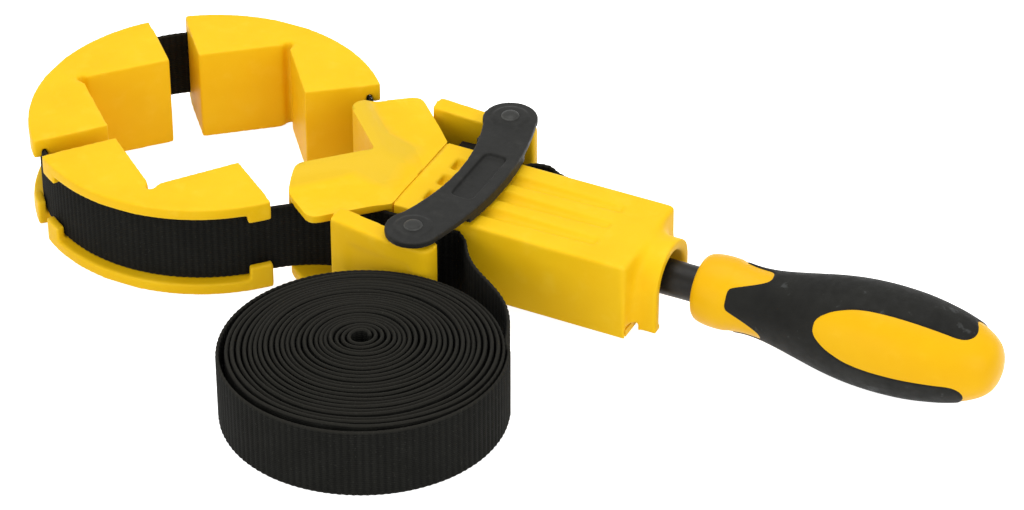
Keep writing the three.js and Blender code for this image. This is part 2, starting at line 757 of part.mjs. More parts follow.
// Where the black grip lies: round the core, in front of the rear cap, between two side windows and four prongs
function gripZone(gap) {
  const shell = rod(gripFrontX - gap, gripRearX + gap, 2 * handleMaxRadius).subtract(handleBody(gripThickness + gap));
  const windowMidX = handleFrontX + windowSetback;
  const windowPoints = [];
  const arcSteps = 12;
  for (let i = 0; i <= arcSteps; i += 1) {
    const angle = Math.PI / 2 + (Math.PI * i) / arcSteps;
    windowPoints.push([
      windowMidX + (windowFrontReach - gap) * Math.cos(angle),
      (windowHalfWidth - gap) * Math.sin(angle),
    ]);
  }
  for (let i = 1; i < arcSteps; i += 1) {
    const angle = -Math.PI / 2 + (Math.PI * i) / arcSteps;
    windowPoints.push([
      windowMidX + (windowBackReach - gap) * Math.cos(angle),
      (windowHalfWidth - gap) * Math.sin(angle),
    ]);
  }
  const window = slab(outline(windowPoints), -2 * handleMaxRadius, 2 * handleMaxRadius)
    .rotate([90 - windowTiltAngle, 0, 0])
    .translate([0, 0, axisZ]);
  const baseHalf = prongBaseWidth / 2 - gap;
  const tipHalf = prongTipWidth / 2 - gap;
  const prong = roundedOutline([
    [gripFrontX - overrun, -baseHalf],
    [gripFrontX + prongLength - gap, -tipHalf, tipHalf / 2],
    [gripFrontX + prongLength - gap, tipHalf, tipHalf / 2],
    [gripFrontX - overrun, baseHalf],
  ], 3);
  const prongs = [prongTurnAngle, -prongTurnAngle].map((turn) =>
    slab(prong, -2 * handleMaxRadius, 2 * handleMaxRadius)
      .rotate([90 - windowTiltAngle + turn, 0, 0])
      .translate([0, 0, axisZ]));
  return shell.subtract(union(window, ...prongs));
}

function handleCore() {
  const socket = rod(handleFrontX - overrun, spindleHexX + fit, spindleRadius + fit)
    .add(rod(spindleHexX, spindleEndX + fit, spindleRadius + fit, 6));
  return handleBody(0).subtract(gripZone(fit)).subtract(socket);
}

const handleGrip = () => handleBody(0).intersect(gripZone(0));

// The release bar: a bowed strap over the housing, riveted to the two wedges that lock the band

function barPlan() {
  const arcSteps = 12;
  const points = [];
  const spine = (share) => [rivetX + barBow * (1 - share * share), rivetY * share];
  for (let i = 0; i <= arcSteps; i += 1) {
    const [x, y] = spine((2 * i) / arcSteps - 1);
    points.push([x + barWidth / 2 - (barWaist * (x - rivetX)) / barBow, y]);
  }
  for (let i = arcSteps; i >= 0; i -= 1) {
    const [x, y] = spine((2 * i) / arcSteps - 1);
    points.push([x - barWidth / 2, y]);
  }
  return outline(points);
}

function releaseBar() {
  const plan = barPlan();
  const strap = slab(plan, barBottomZ, barTopZ);
  const middle = slab(plan, housingTopZ + barClearance, barTopZ)
    .intersect(block(cheekFrontX, housingRearX, -housingHalf, housingHalf, housingTopZ, barTopZ));
  const pad = post(rivetX, rivetY, barBottomZ, barTopZ, padRadius)
    .add(post(rivetX, rivetY, barBottomZ, barTopZ + padRise, padCollarRadius, padCollarRadius - padRise));
  const sink = post(rivetX, rivetY, barTopZ - padRise, barTopZ + 2 * padRise, padSinkRadius)
    .add(post(rivetX, rivetY, barBottomZ - overrun, barTopZ, rivetRadius + fit));
  const badgeX = rivetX + barBow - badgeShift;
  const badge = slab(roundedOutline([
    [badgeX - badgeWidth / 2, -badgeLength / 2, badgeCornerRadius],
    [badgeX + badgeWidth / 2, -badgeLength / 2, badgeCornerRadius],
    [badgeX + badgeWidth / 2, badgeLength / 2, badgeCornerRadius],
    [badgeX - badgeWidth / 2, badgeLength / 2, badgeCornerRadius],
  ]), barTopZ - badgeDepth, barTopZ + overrun);
  return union(strap, middle, bothSides(pad)).subtract(bothSides(sink)).subtract(badge);
}

function rivet(side) {
  const y = side * rivetY;
  const headZ = barTopZ - padRise + fit;
  const shank = post(rivetX, y, barBottomZ - earThickness - fit, headZ + fit, rivetRadius);
  const head = post(rivetX, y, headZ, headZ + rivetHeadHeight, rivetHeadRadius, rivetHeadRadius * Math.SQRT1_2);
  return shank.add(head);
}

// A wedge fills the slot from the band to the cheek, with teeth to the band and an ear under the bar
function lockWedge() {
  const flare = (cheekRearInnerY - cheekFrontInnerY) / (cheekRearX - cheekFrontX);
  const outerY = (x) => cheekFrontInnerY + (x - cheekFrontX) * flare - fit;
  const wedgeFrontX = cheekFrontX + wedgeFrontSetback;
  const wedgeRearX = cheekRearX - wedgeRearSetback;
  const wedgeTopZ = bandBase + wedgeHeight;
  const earFrontX = rivetX - earFrontLength;
  const innerY = bandWallY + bandThickness / 2 + fit;
  const points = [[wedgeFrontX, outerY(wedgeFrontX)]];
  const teeth = Math.floor((wedgeRearX - wedgeFrontX) / toothPitch);
  for (let i = 0; i < teeth; i += 1) {
    const x = wedgeFrontX + i * toothPitch;
    points.push([x, innerY], [x + toothPitch * Math.SQRT1_2, innerY + toothDepth]);
  }
  points.push([wedgeRearX, innerY], [wedgeRearX, outerY(wedgeRearX)]);
  const body = slab(outline(points), bandBase, wedgeTopZ);
  const earBottomZ = barBottomZ - earThickness - fit;
  const neck = slab(outline([
    [earFrontX, innerY + toothDepth],
    [wedgeRearX, innerY + toothDepth],
    [wedgeRearX, outerY(wedgeRearX)],
    [earFrontX, outerY(earFrontX)],
  ]), wedgeTopZ - overrun, barBottomZ - fit);
  const earY = rivetY + earOverhang;
  const ear = block(earFrontX, wedgeRearX, innerY + toothDepth, earY, earBottomZ, barBottomZ - fit);
  const hole = post(rivetX, rivetY, earBottomZ - overrun, barBottomZ, rivetRadius + fit);
  return union(body, neck, ear).subtract(hole);
}

// The band: round the loop, then as a free tail, then in a coil; and its short end behind the housing

function loopStations() {
  const atBase = ([x, y]) => [x, y, bandBase];
  const arcSteps = 72;
  const near = [[cheekRearX, -bandWallY], [seamX, -bandWallY], ...approach(-frontStartAngle, -1).reverse()];
  const arc = [];
  const sweep = 360 - backStartAngle - frontStartAngle;
  for (let i = 0; i <= arcSteps; i += 1) arc.push(polar(bandRadius, -frontStartAngle - (sweep * i) / arcSteps));
  const far = [...approach(backStartAngle, 1), [seamX, bandWallY], [cheekRearX, bandWallY]];
  const looseRun = housingRearX - looseEndSetback - cheekRearX;
  const looseShares = [[0, 0], [0.11, 0.8], [0.22, 1], [0.33, 0.5], [0.55, 0.06], [1, 0.06]];
  const loose = smooth(
    looseShares.map(([along, away]) => [cheekRearX + looseRun * along, bandWallY + looseLift * away, bandBase]), 20);
  return [...[...near, ...arc, ...far].map(atBase), ...loose.slice(1)];
}

// The coil winds inwards, one loop inside the next, with a straight stretch at each end
function coilStations() {
  const stations = [];
  const steps = coilLoops * stepsPerLoop;
  const [meetX, meetY] = tailRoute.at(-1);
  const [leadX, leadY] = polar(1, coilStartAngle - 90);
  const [outX, outY] = polar(coilMidRadius, coilStartAngle);
  const middleX = meetX + leadX * (fit + coilLead) - outX;
  const middleY = meetY + leadY * (fit + coilLead) - outY;
  const onLoop = (turn) => {
    const [x, y] = polar(coilMidRadius - coilSpacing * turn, coilStartAngle - 360 * turn);
    return [middleX + x, middleY + y, 0];
  };
  stations.push([meetX + leadX * fit, meetY + leadY * fit, 0]);
  for (let i = 0; i <= steps; i += 1) stations.push(onLoop(i / stepsPerLoop));
  const [endX, endY] = stations.at(-1);
  const [inX, inY] = polar(bandThickness, coilStartAngle - 360 * coilLoops - 90 - coilEndAngle);
  stations.push([endX + inX, endY + inY, 0]);
  return stations;
}

// The least gap between one stretch of the coil and any other that lies half a loop or more along it
function coilGap(stations) {
  let least = Infinity;
  const corners = stations.slice(1, -1).flatMap(([x, y], i) => {
    const [bx, by] = stations[i + 2];
    const length = Math.hypot(bx - stations[i][0], by - stations[i][1]);
    const nx = (-(by - stations[i][1]) / length) * (bandThickness / 2);
    const ny = ((bx - stations[i][0]) / length) * (bandThickness / 2);
    return [[x + nx, y + ny, i + 1], [x - nx, y - ny, i + 1]];
  });
  for (const [x, y, i] of corners) {
    for (let k = 0; k + 1 < stations.length; k += 1) {
      if (Math.abs(k - i) < stepsPerLoop / 2) continue;
      const [ax, ay] = stations[k];
      const [bx, by] = stations[k + 1];
      const run = (bx - ax) ** 2 + (by - ay) ** 2;
      const along = THREE.MathUtils.clamp(((x - ax) * (bx - ax) + (y - ay) * (by - ay)) / run, 0, 1);
      const away = Math.hypot(x - ax - along * (bx - ax), y - ay - along * (by - ay));
      least = Math.min(least, away - bandThickness / 2);
    }
  }
  return least;
}

const lengthOf = (stations) =>
  stations.slice(1).reduce((sum, [x, y, z], i) =>
    sum + Math.hypot(x - stations[i][0], y - stations[i][1], z - stations[i][2]), 0);

const coil = coilStations();
const loop = loopStations();
console.log(`coil: least gap ${coilGap(coil).toFixed(3)} mm, length ${lengthOf(coil).toFixed(0)} mm`);
console.log(`tail ${lengthOf(tailRoute).toFixed(0)} mm, loop ${lengthOf(loop).toFixed(0)} mm, origin x ${originX}`);

place('housing_shell', housingShell(), materials.yellow);
place('base_cover', baseCover(), materials.cover);
screwPlaces.forEach(([x, y], i) => place(`cover_screw_${i + 1}`, coverScrew(x, y), materials.steel));
place('spindle_bush_front', bush(bearingFrontX), materials.bronze);
place('spindle_bush_middle', bush(bearingRearX), materials.bronze);
place('spindle_bush_rear', bush(rearWallX), materials.bronze);
place('band_loop', ribbon(loop), materials.webbing);
place('band_tail', ribbon(tailRoute), materials.webbing);
place('band_coil', ribbon(coil), materials.webbing);
place('v_jaw', vJaw(), materials.yellow);
place('v_jaw_nut', nut(), materials.steel);
place('spindle', spindle(), materials.blackSteel);
place('thrust_washer_front', ring(collarX - fit - washerThickness, collarX - fit, spindleRadius + fit, collarRadius),
  materials.bronze);
place('thrust_washer_rear',
  ring(collarX + collarLength + fit, collarX + collarLength + fit + washerThickness, spindleRadius + fit, collarRadius),
  materials.bronze);
place('handle_core', handleCore(), materials.yellow);
place('handle_grip', handleGrip(), materials.grip);
place('release_bar', releaseBar(), materials.charcoal);
place('bar_rivet_near', rivet(-1), materials.charcoal);
place('bar_rivet_far', rivet(1), materials.charcoal);
place('lock_wedge_near', mirrorY(lockWedge()), materials.charcoal);
place('lock_wedge_far', lockWedge(), materials.charcoal);
place('corner_jaw_back', cornerJaw(jawPlaces.back), materials.yellow);
place('corner_jaw_left', cornerJaw(jawPlaces.left), materials.yellow);
place('corner_jaw_front', cornerJaw(jawPlaces.front), materials.yellow);

export default clamp;
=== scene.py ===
# Band clamp: moulded yellow jaws and housing, black webbing with its spare length in a coil, and a handle in
# two colours. Sizes are in millimetres in the clamp's own frame: the screw along +X, the loop's middle at
# x = 0, and the table at z = 0. Angles are in degrees.
import math

import bmesh
import bpy
import numpy as np
from mathutils import Matrix, Vector


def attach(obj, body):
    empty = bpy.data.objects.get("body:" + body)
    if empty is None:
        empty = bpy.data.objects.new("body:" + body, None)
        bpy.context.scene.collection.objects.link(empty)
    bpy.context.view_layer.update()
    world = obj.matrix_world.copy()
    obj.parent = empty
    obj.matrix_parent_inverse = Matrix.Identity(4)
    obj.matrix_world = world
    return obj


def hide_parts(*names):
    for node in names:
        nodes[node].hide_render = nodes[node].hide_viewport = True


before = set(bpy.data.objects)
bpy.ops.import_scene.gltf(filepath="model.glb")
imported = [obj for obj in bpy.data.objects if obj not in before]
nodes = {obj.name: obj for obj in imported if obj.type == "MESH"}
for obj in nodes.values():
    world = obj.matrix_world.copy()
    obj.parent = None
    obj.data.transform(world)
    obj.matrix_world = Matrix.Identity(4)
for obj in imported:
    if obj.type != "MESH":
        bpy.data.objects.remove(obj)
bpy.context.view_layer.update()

MM = 0.001

# Steps between two given points of a smooth curve
CURVE_STEPS = 16

# Where the part's origin lies in the clamp's own frame
ORIGIN_X = 112.5

# The photograph's frame, and the camera that took it: its focal length in pixels, its direction and distance,
# and a place with the pixel that it shows at
PHOTO_WIDTH, PHOTO_HEIGHT = 1024, 510
CAMERA_FOCUS = 4000
CAMERA_AZIMUTH, CAMERA_ELEVATION = 26.1019, 35.5217
CAMERA_DISTANCE = 1365.1765
CAMERA_AIM = (-2.5, 0, 0)
AIM_PIXEL = (204.992, 189.994)

# The screw's axis, and the housing along and across it
AXIS_Z = 18.5
SEAM_X = 80.8
CHEEK_REAR_X = 105
HOUSING_REAR_X = 164
HOUSING_TOP_Z = 32.2
HOUSING_HALF = 20

# The rise of the cheeks' tops towards their front, and where it begins and ends along each axis
CHEEK_RISE = 1.6
CHEEK_RISE_X = (66, 88)
CHEEK_RISE_Y = (29, 31)
CHEEK_RISE_Z = (15, 33)

# The housing's grooves: what they gain in depth, how deep they are, and what lies round them
GROOVE_GAIN = 1.7
GROOVE_LEAST_DEPTH = 0.04
GROOVE_MOST_DEPTH = 2.2
GROOVE_FRONT_GAP = 4
GROOVE_REAR_GAP = 5
GROOVE_SIDE_GAP = 4

# The sharp edge of the housing at its seam with the V jaw, and the round hood at its rear
SEAM_EDGE_AHEAD = 1
SEAM_EDGE_BEHIND = 1.5
SEAM_EDGE_SIDE_GAP = 1
SEAM_EDGE_DEPTH = 1.2
SEAM_EDGE_DROP = 0.03
HOOD_RADIUS = 13
HOOD_AHEAD = 0.6
HOOD_BEHIND = 2
HOOD_FOOT_RISE = 2

# Where the housing's edges are rounder: its rear end, its long top edges and the panels on its cheeks
REAR_END_LENGTH = 6
REAR_END_FOOT_Z = 6
LONG_EDGE_WIDTH = 3
LONG_EDGE_OUT = 0.5
CHEEK_PANEL_Y = 37
CHEEK_PANEL_FOOT_Z = 2

# The band, and its rounded edges: shares of the half thickness, with their distances from the edge
BAND_WIDTH = 25
BAND_THICKNESS = 1.3
BAND_EDGE = ((1.0, 0.9), (0.75, 0.35), (0.3, 0.05))
BAND_BASE = 4.5
FINE_STEP = 0.44

# The weave's ribs, and how unevenly deep they are
RIB_PITCH = 2.2
RIB_DEPTH = 0.3
RIB_UNEVEN = 0.25
RIB_UNEVEN_PERIOD = 5
RIB_UNEVEN_START = 1
RIB_UNEVEN_SEED = 7
EDGE_RIPPLE_SHARE = 0.5

# The band's loop: round the jaws, to the slots beside the housing, and a short end behind the far cheek
BAND_RADIUS = 56.15
BAND_WALL_Y = 20.95
BACK_START_ANGLE = 41
FRONT_START_ANGLE = 40
ARC_STEPS = 72
APPROACH_SHARES = ((0.19, 0.61), (0.38, 0.36), (0.62, 0.17), (0.84, 0.03))
LOOSE_END_SETBACK = 12.5
LOOSE_LIFT = 5
LOOSE_SHARES = ((0.11, 0.8), (0.22, 1), (0.33, 0.5), (0.55, 0.06), (1, 0.06))

# The coil of spare band: an oval of even turns, with its eye to one side
COIL_LOOPS = 24
COIL_SPACING = 1.7
COIL_EYE_RADIUS = 3
COIL_START_ANGLE = 24
COIL_LEAD = 3.3
COIL_LENGTHENING = 1.035
COIL_NARROWING = 0.96
COIL_LONG_ANGLE = 26
COIL_EYE_SHIFT = (-4, 5.4)
COIL_SHIFT = 1
STEPS_PER_TURN = 72

# How unevenly the coil's turns lie: its first turn stands off, and the others sway in and out
COIL_LOOSE_LIFT = 1.3
COIL_UNEVEN = 0.2
COIL_RIPPLE_SHARE = 0.7
COIL_RIPPLE_DRIFT = 0.7

# How unevenly high the coil's turns stand: heights, periods and seeds, and where that begins along the coil
COIL_HEIGHTS = ((0.5, 43, 3), (0.2, 13, 5))
COIL_LEVEL_LENGTH = 250
COIL_UNEVEN_LENGTH = 330

# The free piece of band, and how much of the coil's outer turn is drawn as finely as it
CORD_LENGTH = 160
OUTER_TURN_SHARE = 1.08
PATH_STRIDE = 10

# The free tail's route, from the slot to the coil, at the middle of the band's lower edge
TAIL_ROUTE = [
    (105.3, -20.95, 4.5),
    (106.6, -21.3, 4.4),
    (108.1, -22.8, 4.25),
    (109.7, -25.3, 4),
    (111.9, -28.4, 3.7),
    (115, -31.9, 3.3),
    (118.8, -35, 2.9),
    (123, -37.6, 2.5),
    (127.2, -40.2, 2.1),
    (131.3, -43.2, 1.7),
    (134.9, -46.8, 1.3),
    (137.9, -51.2, 0.9),
    (140.2, -56, 0.5),
    (142, -60.4, 0.2),
    (143.4, -63.9, 0),
]

# The corner jaws: where they stand round the loop, and the soft corner of their notch
JAW_ANGLES = {"back": 84, "left": 182.3, "front": 277}
NOTCH_RADIUS = 47.8
NOTCH_SOFT_RADIUS = 3.2

# The V jaw: a raised rim behind its sides and a tongue behind its vertex, with a soft step round both
VERTEX_X = 63.6
VERTEX_ROUND = 2
V_TOP_Z = 32.8
V_RISE = 4
V_RIM_WIDTH = 8.5
V_TONGUE_HALF = 13.5
V_CORNER_SOFTNESS = 2.5
V_STEP_RUN = 6.5

# The fall of its tongue to the housing, the step at its seam, and the skin at its top that all this moves
V_FALL = 4
V_FALL_START = 3
V_FALL_RUN = 11.3
SEAM_STEP = 0.55
SEAM_STEP_START = 6
SEAM_STEP_END = 0.6
V_SKIN_FOOT = 2.4
V_SKIN_FULL = 0.6

# Where its top edge is rounder
V_SOFT_DEPTH = 3
V_SOFT_WIDTH = 20
V_SOFT_SEAM_GAP = 3

# Its field of painted shade, a duller tone on the rim and tongue: how its edges fade, where it ends before
# the seam, and how level its faces are
RIM_SHADE_FADE = 1
TONGUE_FADE = 2
RIM_SHADE_SEAM_START = 8
RIM_SHADE_SEAM_END = 3
RIM_SHADE_UPWARD = (0.55, 0.8)

# The release bar: its sunken field, and the low pads that close the sinks round its rivets
BAR_TOP_Z = 37.6
RECESS_X = 102.2
RECESS_HALF_WIDTH = 4.6
RECESS_HALF_LENGTH = 14
RECESS_MOST_DEPTH = 1.2
RECESS_GAIN = 0.5
RECESS_WALL_DEPTHS = (0.08, 0.6)
PAD_RISE = 0.5
PAD_RADII = (5.4, 6.8)
SINK_RADIUS = 9
SINK_DEPTH = 0.9
BAR_SOFT_Z = 30

# Its rivets
RIVET_X = 96.2
RIVET_Y = 35.4
RIVET_FOOT_Z = 32.5
RIVET_RADIUS = 2.2
RIVET_SEAT_RISE = 0.35
RIVET_HEAD_RADIUS = 3.1
RIVET_HEAD_HEIGHT = 1.3
DOME_STEPS = 6
DOME_SQUARENESS = 0.7
RIVET_SIDES = 48

# The spindle, from its front end to the end inside the handle
SPINDLE_START_X = 92
SPINDLE_END_X = 210
SPINDLE_RADIUS = 6
SPINDLE_CHAMFER = 0.6
SPINDLE_REAR_X = 165
SPINDLE_TAPER = 0.2
SPINDLE_SIDES = 48
COLLAR_X = 136
COLLAR_LENGTH = 4
COLLAR_RADIUS = 9.5
COLLAR_CHAMFER = 0.4

# Its thread, with the shares of the pitch where a flank begins and ends
THREAD_START_X = 94
THREAD_END_X = 114
THREAD_RUN_OUT_X = 118
THREAD_ROOT_RADIUS = 4.5
THREAD_PITCH = 4
THREAD_FLANK_SHARES = (0.16, 0.34)
THREAD_FADE = 2
THREAD_STEPS = 160

# The handle, with its outline as shares of its length and of its greatest radius
HANDLE_FRONT_X = 182
HANDLE_LENGTH = 103
HANDLE_RADIUS = 17.4
HANDLE_STEP = 0.8
HANDLE_OUTLINE_SHARES = [
    (0.0, 0.5), (0.004, 0.58), (0.015, 0.635), (0.035, 0.67), (0.08, 0.69), (0.125, 0.672), (0.17, 0.645),
    (0.205, 0.646), (0.24, 0.665), (0.285, 0.71), (0.33, 0.765), (0.38, 0.828), (0.43, 0.89), (0.48, 0.94),
    (0.53, 0.975), (0.575, 0.993), (0.62, 1.0), (0.665, 0.995), (0.71, 0.98), (0.755, 0.95), (0.8, 0.905),
    (0.84, 0.856), (0.88, 0.79), (0.91, 0.727), (0.94, 0.64), (0.96, 0.56), (0.975, 0.475), (0.988, 0.35),
    (0.996, 0.2),
]

# Its core, which sinks a little behind the ferrule
CORE_SIDES = 128
CORE_MOUTH_GAP = 0.4
CORE_SINK = 0.28
CORE_SINK_START = 11
CORE_SINK_END = 13

# Its grip: how far it stands over the outline, and how it rolls under the core's surface at its edge
GRIP_START = 6
GRIP_END = 98
GRIP_STEP = 0.4
GRIP_SIDES = 280
GRIP_KEEP = 0.35
GRIP_STAND = 0.12
GRIP_DIVE = 0.8
GRIP_ROLL = (-0.7, 0.3)
WINDOW_ELEVATION = 28

# Half of the grip's rear edge, round a window and the rear cap, and half of its front edge, round the ferrule
# and its prongs: x, and degrees from the window's middle
REAR_EDGE = [
    (226, 0), (226.2, 7), (227.3, 13), (229, 18), (231, 22.5), (234, 26.8), (238, 31), (243, 33.4),
    (249, 34.4), (256, 34.8), (263, 35), (268, 35.2), (271.4, 35.6), (273.6, 38), (275, 43), (275.9, 51),
    (276, 60), (275.6, 68), (275, 75), (274.2, 82), (273.8, 90),
]
FRONT_EDGE = [
    (194.9, 0), (194.9, 8), (195, 14), (195.5, 18), (197.2, 22.5), (199.4, 28), (202, 34.5), (204.4, 41),
    (206.1, 46.5), (206.9, 51.5), (207.1, 58), (206.9, 66), (206.3, 74), (205, 79.5), (202, 83.2),
    (198.4, 85.8), (196.2, 88), (195.8, 90),
]

# These edges are drawn as curves with so many degrees to a millimetre, and mirrored past their ends
DEGREES_A_STEP = 4
EDGE_STEP = 1.5
EDGE_OVERRUN = 5

# The floor, the world's light, and the lamps: name, watts, size and place in metres, all turned to the origin
FLOOR_REACH = 3.0
FLOOR_DROP = 0.0002
FLOOR_WHITE = 0.9
WORLD_LIGHT = 0.66
LAMPS = (
    ("top_light", 10.5, 1.2, (-0.15, 0.25, 1.4)),
    ("side_light", 5, 0.9, (1.2, -0.7, 0.6)),
    ("front_light", 3.5, 0.9, (-0.4, -1.3, 0.45)),
)


def in_frame(points):
    """Clamp millimetres as metres in the part's frame."""
    moved = np.array(points, float).reshape(-1, 3)
    moved[:, 0] -= ORIGIN_X
    return moved * MM


def in_clamp(points):
    """Metres in the part's frame as clamp millimetres."""
    moved = np.array(points, float).reshape(-1, 3) / MM
    moved[:, 0] += ORIGIN_X
    return moved


def make_camera():
    """The photograph's own view."""
    turn, lift = math.radians(CAMERA_AZIMUTH), math.radians(CAMERA_ELEVATION)
    back = Vector((math.sin(turn) * math.cos(lift), -math.cos(turn) * math.cos(lift), math.sin(lift)))
    right = Vector((math.cos(turn), math.sin(turn), 0))
    up = back.cross(right)
    distance = CAMERA_DISTANCE * MM
    aim = Vector(in_frame(CAMERA_AIM)[0])
    across = (AIM_PIXEL[0] - PHOTO_WIDTH / 2) / CAMERA_FOCUS * distance
    down = (AIM_PIXEL[1] - PHOTO_HEIGHT / 2) / CAMERA_FOCUS * distance
    data = bpy.data.cameras.new("camera")
    data.lens = data.sensor_width * CAMERA_FOCUS / PHOTO_WIDTH
    camera = bpy.data.objects.new("camera", data)
    bpy.context.scene.collection.objects.link(camera)
    place = Matrix((right, up, back)).transposed().to_4x4()
    place.translation = aim + back * distance - right * across + up * down
    camera.matrix_world = place
    bpy.context.scene.camera = camera


# Materials

class Shader:
    """A material's node tree, with a short way to add nodes to it."""

    def __init__(self, name):
        self.material = bpy.data.materials.new(name)
        self.material.use_nodes = True
        self.tree = self.material.node_tree
        self.surface = self.tree.nodes["Principled BSDF"]
        self.coordinates = self.add("ShaderNodeTexCoord").outputs["Object"]

    def add(self, kind, inputs=None, **settings):
        made = self.tree.nodes.new(kind)
        for name, value in settings.items():
            setattr(made, name, value)
        for name, value in (inputs or {}).items():
            self.feed(made.inputs[name], value)
        return made

    def feed(self, socket, value):
        if isinstance(value, bpy.types.NodeSocket):
            self.tree.links.new(value, socket)
        else:
            socket.default_value = value

    def noise(self, size, detail, stretch=None):
        """Noise with features of about that size in millimetres, from 0 to 1."""
        vector = self.coordinates
        if stretch:
            vector = self.add("ShaderNodeMapping", {"Vector": vector, "Scale": stretch}).outputs[0]
        inputs = {"Vector": vector, "Scale": 1 / (size * MM), "Detail": detail, "Roughness": 0.55}
        return self.add("ShaderNodeTexNoise", inputs).outputs["Fac"]

    def math(self, operation, a, b=0.0, clamp=False):
        made = self.add("ShaderNodeMath", operation=operation, use_clamp=clamp)
        self.feed(made.inputs[0], a)
        self.feed(made.inputs[1], b)
        return made.outputs[0]

    def between(self, value, low, high, to_low=0.0, to_high=1.0):
        inputs = {"Value": value, "From Min": low, "From Max": high, "To Min": to_low, "To Max": to_high}
        return self.add("ShaderNodeMapRange", inputs).outputs["Result"]

    def mix(self, share, a, b):
        made = self.add("ShaderNodeMix", data_type="RGBA")
        self.feed(made.inputs["Factor"], share)
        self.feed(made.inputs["A"], a)
        self.feed(made.inputs["B"], b)
        return made.outputs["Result"]

    def bump(self, height, depth, strength=1.0, under=None):
        """A bump of that depth in millimetres."""
        inputs = {"Height": height, "Distance": depth * MM, "Strength": strength}
        if under:
            inputs["Normal"] = under
        return self.add("ShaderNodeBump", inputs).outputs["Normal"]

    def edges(self, low, high):
        """1 on convex edges and 0 on flat faces."""
        pointed = self.add("ShaderNodeNewGeometry").outputs["Pointiness"]
        return self.between(pointed, low, high)

    def finish(self, **inputs):
        names = {
            "colour": "Base Color", "roughness": "Roughness", "normal": "Normal", "metal": "Metallic",
            "specular": "Specular IOR Level",
        }
        for name, value in inputs.items():
            self.feed(self.surface.inputs[names[name]], value)
        return self.material


def colour(red, green, blue):
    """A colour given in 0 to 255 display values, as a linear one."""
    def linear(value):
        share = value / 255
        return share / 12.92 if share <= 0.04045 else ((share + 0.055) / 1.055) ** 2.4
    return (linear(red), linear(green), linear(blue), 1)


def v_rim_shade_area(shader):
    """1 on the upward faces of the V's raised rim and tongue, where a duller tone is painted as shade, and 0
    elsewhere.
    """
    def fading(value, full, gone):
        return shader.between(value, full * MM, gone * MM, 1, 0)

    place = shader.add("ShaderNodeSeparateXYZ", {"Vector": shader.coordinates}).outputs
    aside = shader.math("ABSOLUTE", place["Y"])
    rim_edge = VERTEX_X - ORIGIN_X + V_RIM_WIDTH * math.sqrt(2)
    rim = fading(shader.math("ADD", place["X"], aside), rim_edge - RIM_SHADE_FADE, rim_edge + RIM_SHADE_FADE)
    tongue = fading(aside, V_TONGUE_HALF - TONGUE_FADE, V_TONGUE_HALF + RIM_SHADE_FADE)
    seam = SEAM_X - ORIGIN_X
    before_seam = fading(place["X"], seam - RIM_SHADE_SEAM_START, seam - RIM_SHADE_SEAM_END)
    tongue = shader.math("MULTIPLY", tongue, before_seam)
    facing = shader.add("ShaderNodeNewGeometry").outputs["Normal"]
    upward_share = shader.add("ShaderNodeSeparateXYZ", {"Vector": facing}).outputs["Z"]
    upwards = shader.between(upward_share, *RIM_SHADE_UPWARD)
    return shader.math("MULTIPLY", shader.math("MAXIMUM", rim, tongue), upwards)


def moulded_nylon(name, tones, rough, grain_size, grain_depth, shade_area=None, shade_tone=None):
    """Moulded plastic: cloudy between two tones, a paler third on edges as wear and painted highlight, and a
    fine grain.
    """
    main, deep, pale = (colour(*tone) for tone in tones)
    shader = Shader(name)
    cloud = shader.between(shader.noise(22, 3), 0.35, 0.65)
    body = shader.mix(cloud, main, deep)
    flow = shader.between(shader.noise(7, 4), 0.55, 0.75, 0, 0.35)
    body = shader.mix(flow, body, pale)
    # Convex edges take the paler tone in patches: partly wear, partly a painted highlight
    patches = shader.between(shader.noise(3, 3), 0.35, 0.7, 0.2, 0.8)
    worn_and_highlit = shader.math("MULTIPLY", shader.edges(0.515, 0.56), patches)
    body = shader.mix(worn_and_highlit, body, pale)
    # Painted shade: a duller tone on the V's raised rim and tongue
    if shade_area:
        body = shader.mix(shade_area(shader), body, colour(*shade_tone))
    grain = shader.bump(shader.noise(grain_size, 3), grain_depth)
    swell = shader.bump(shader.noise(9, 2), 0.06, 0.6, grain)
    roughness = shader.between(shader.noise(2.5, 4), 0.3, 0.7, rough - 0.05, rough + 0.07)
    return shader.finish(colour=body, roughness=roughness, normal=swell, specular=0.13)


def grip_rubber():
    """Matt rubber with a soft grain and a few pale scuffs."""
    shader = Shader("grip_rubber")
    cloud = shader.between(shader.noise(14, 3), 0.35, 0.65)
    body = shader.mix(cloud, colour(24, 24, 22), colour(32, 32, 29))
    scuff = shader.between(shader.noise(7, 5), 0.62, 0.68, 0, 0.35)
    body = shader.mix(scuff, body, colour(88, 90, 90))
    grain = shader.bump(shader.noise(0.5, 3), 0.05)
    roughness = shader.between(shader.noise(3, 4), 0.3, 0.7, 0.55, 0.72)
    return shader.finish(colour=body, roughness=roughness, normal=grain, specular=0.13)


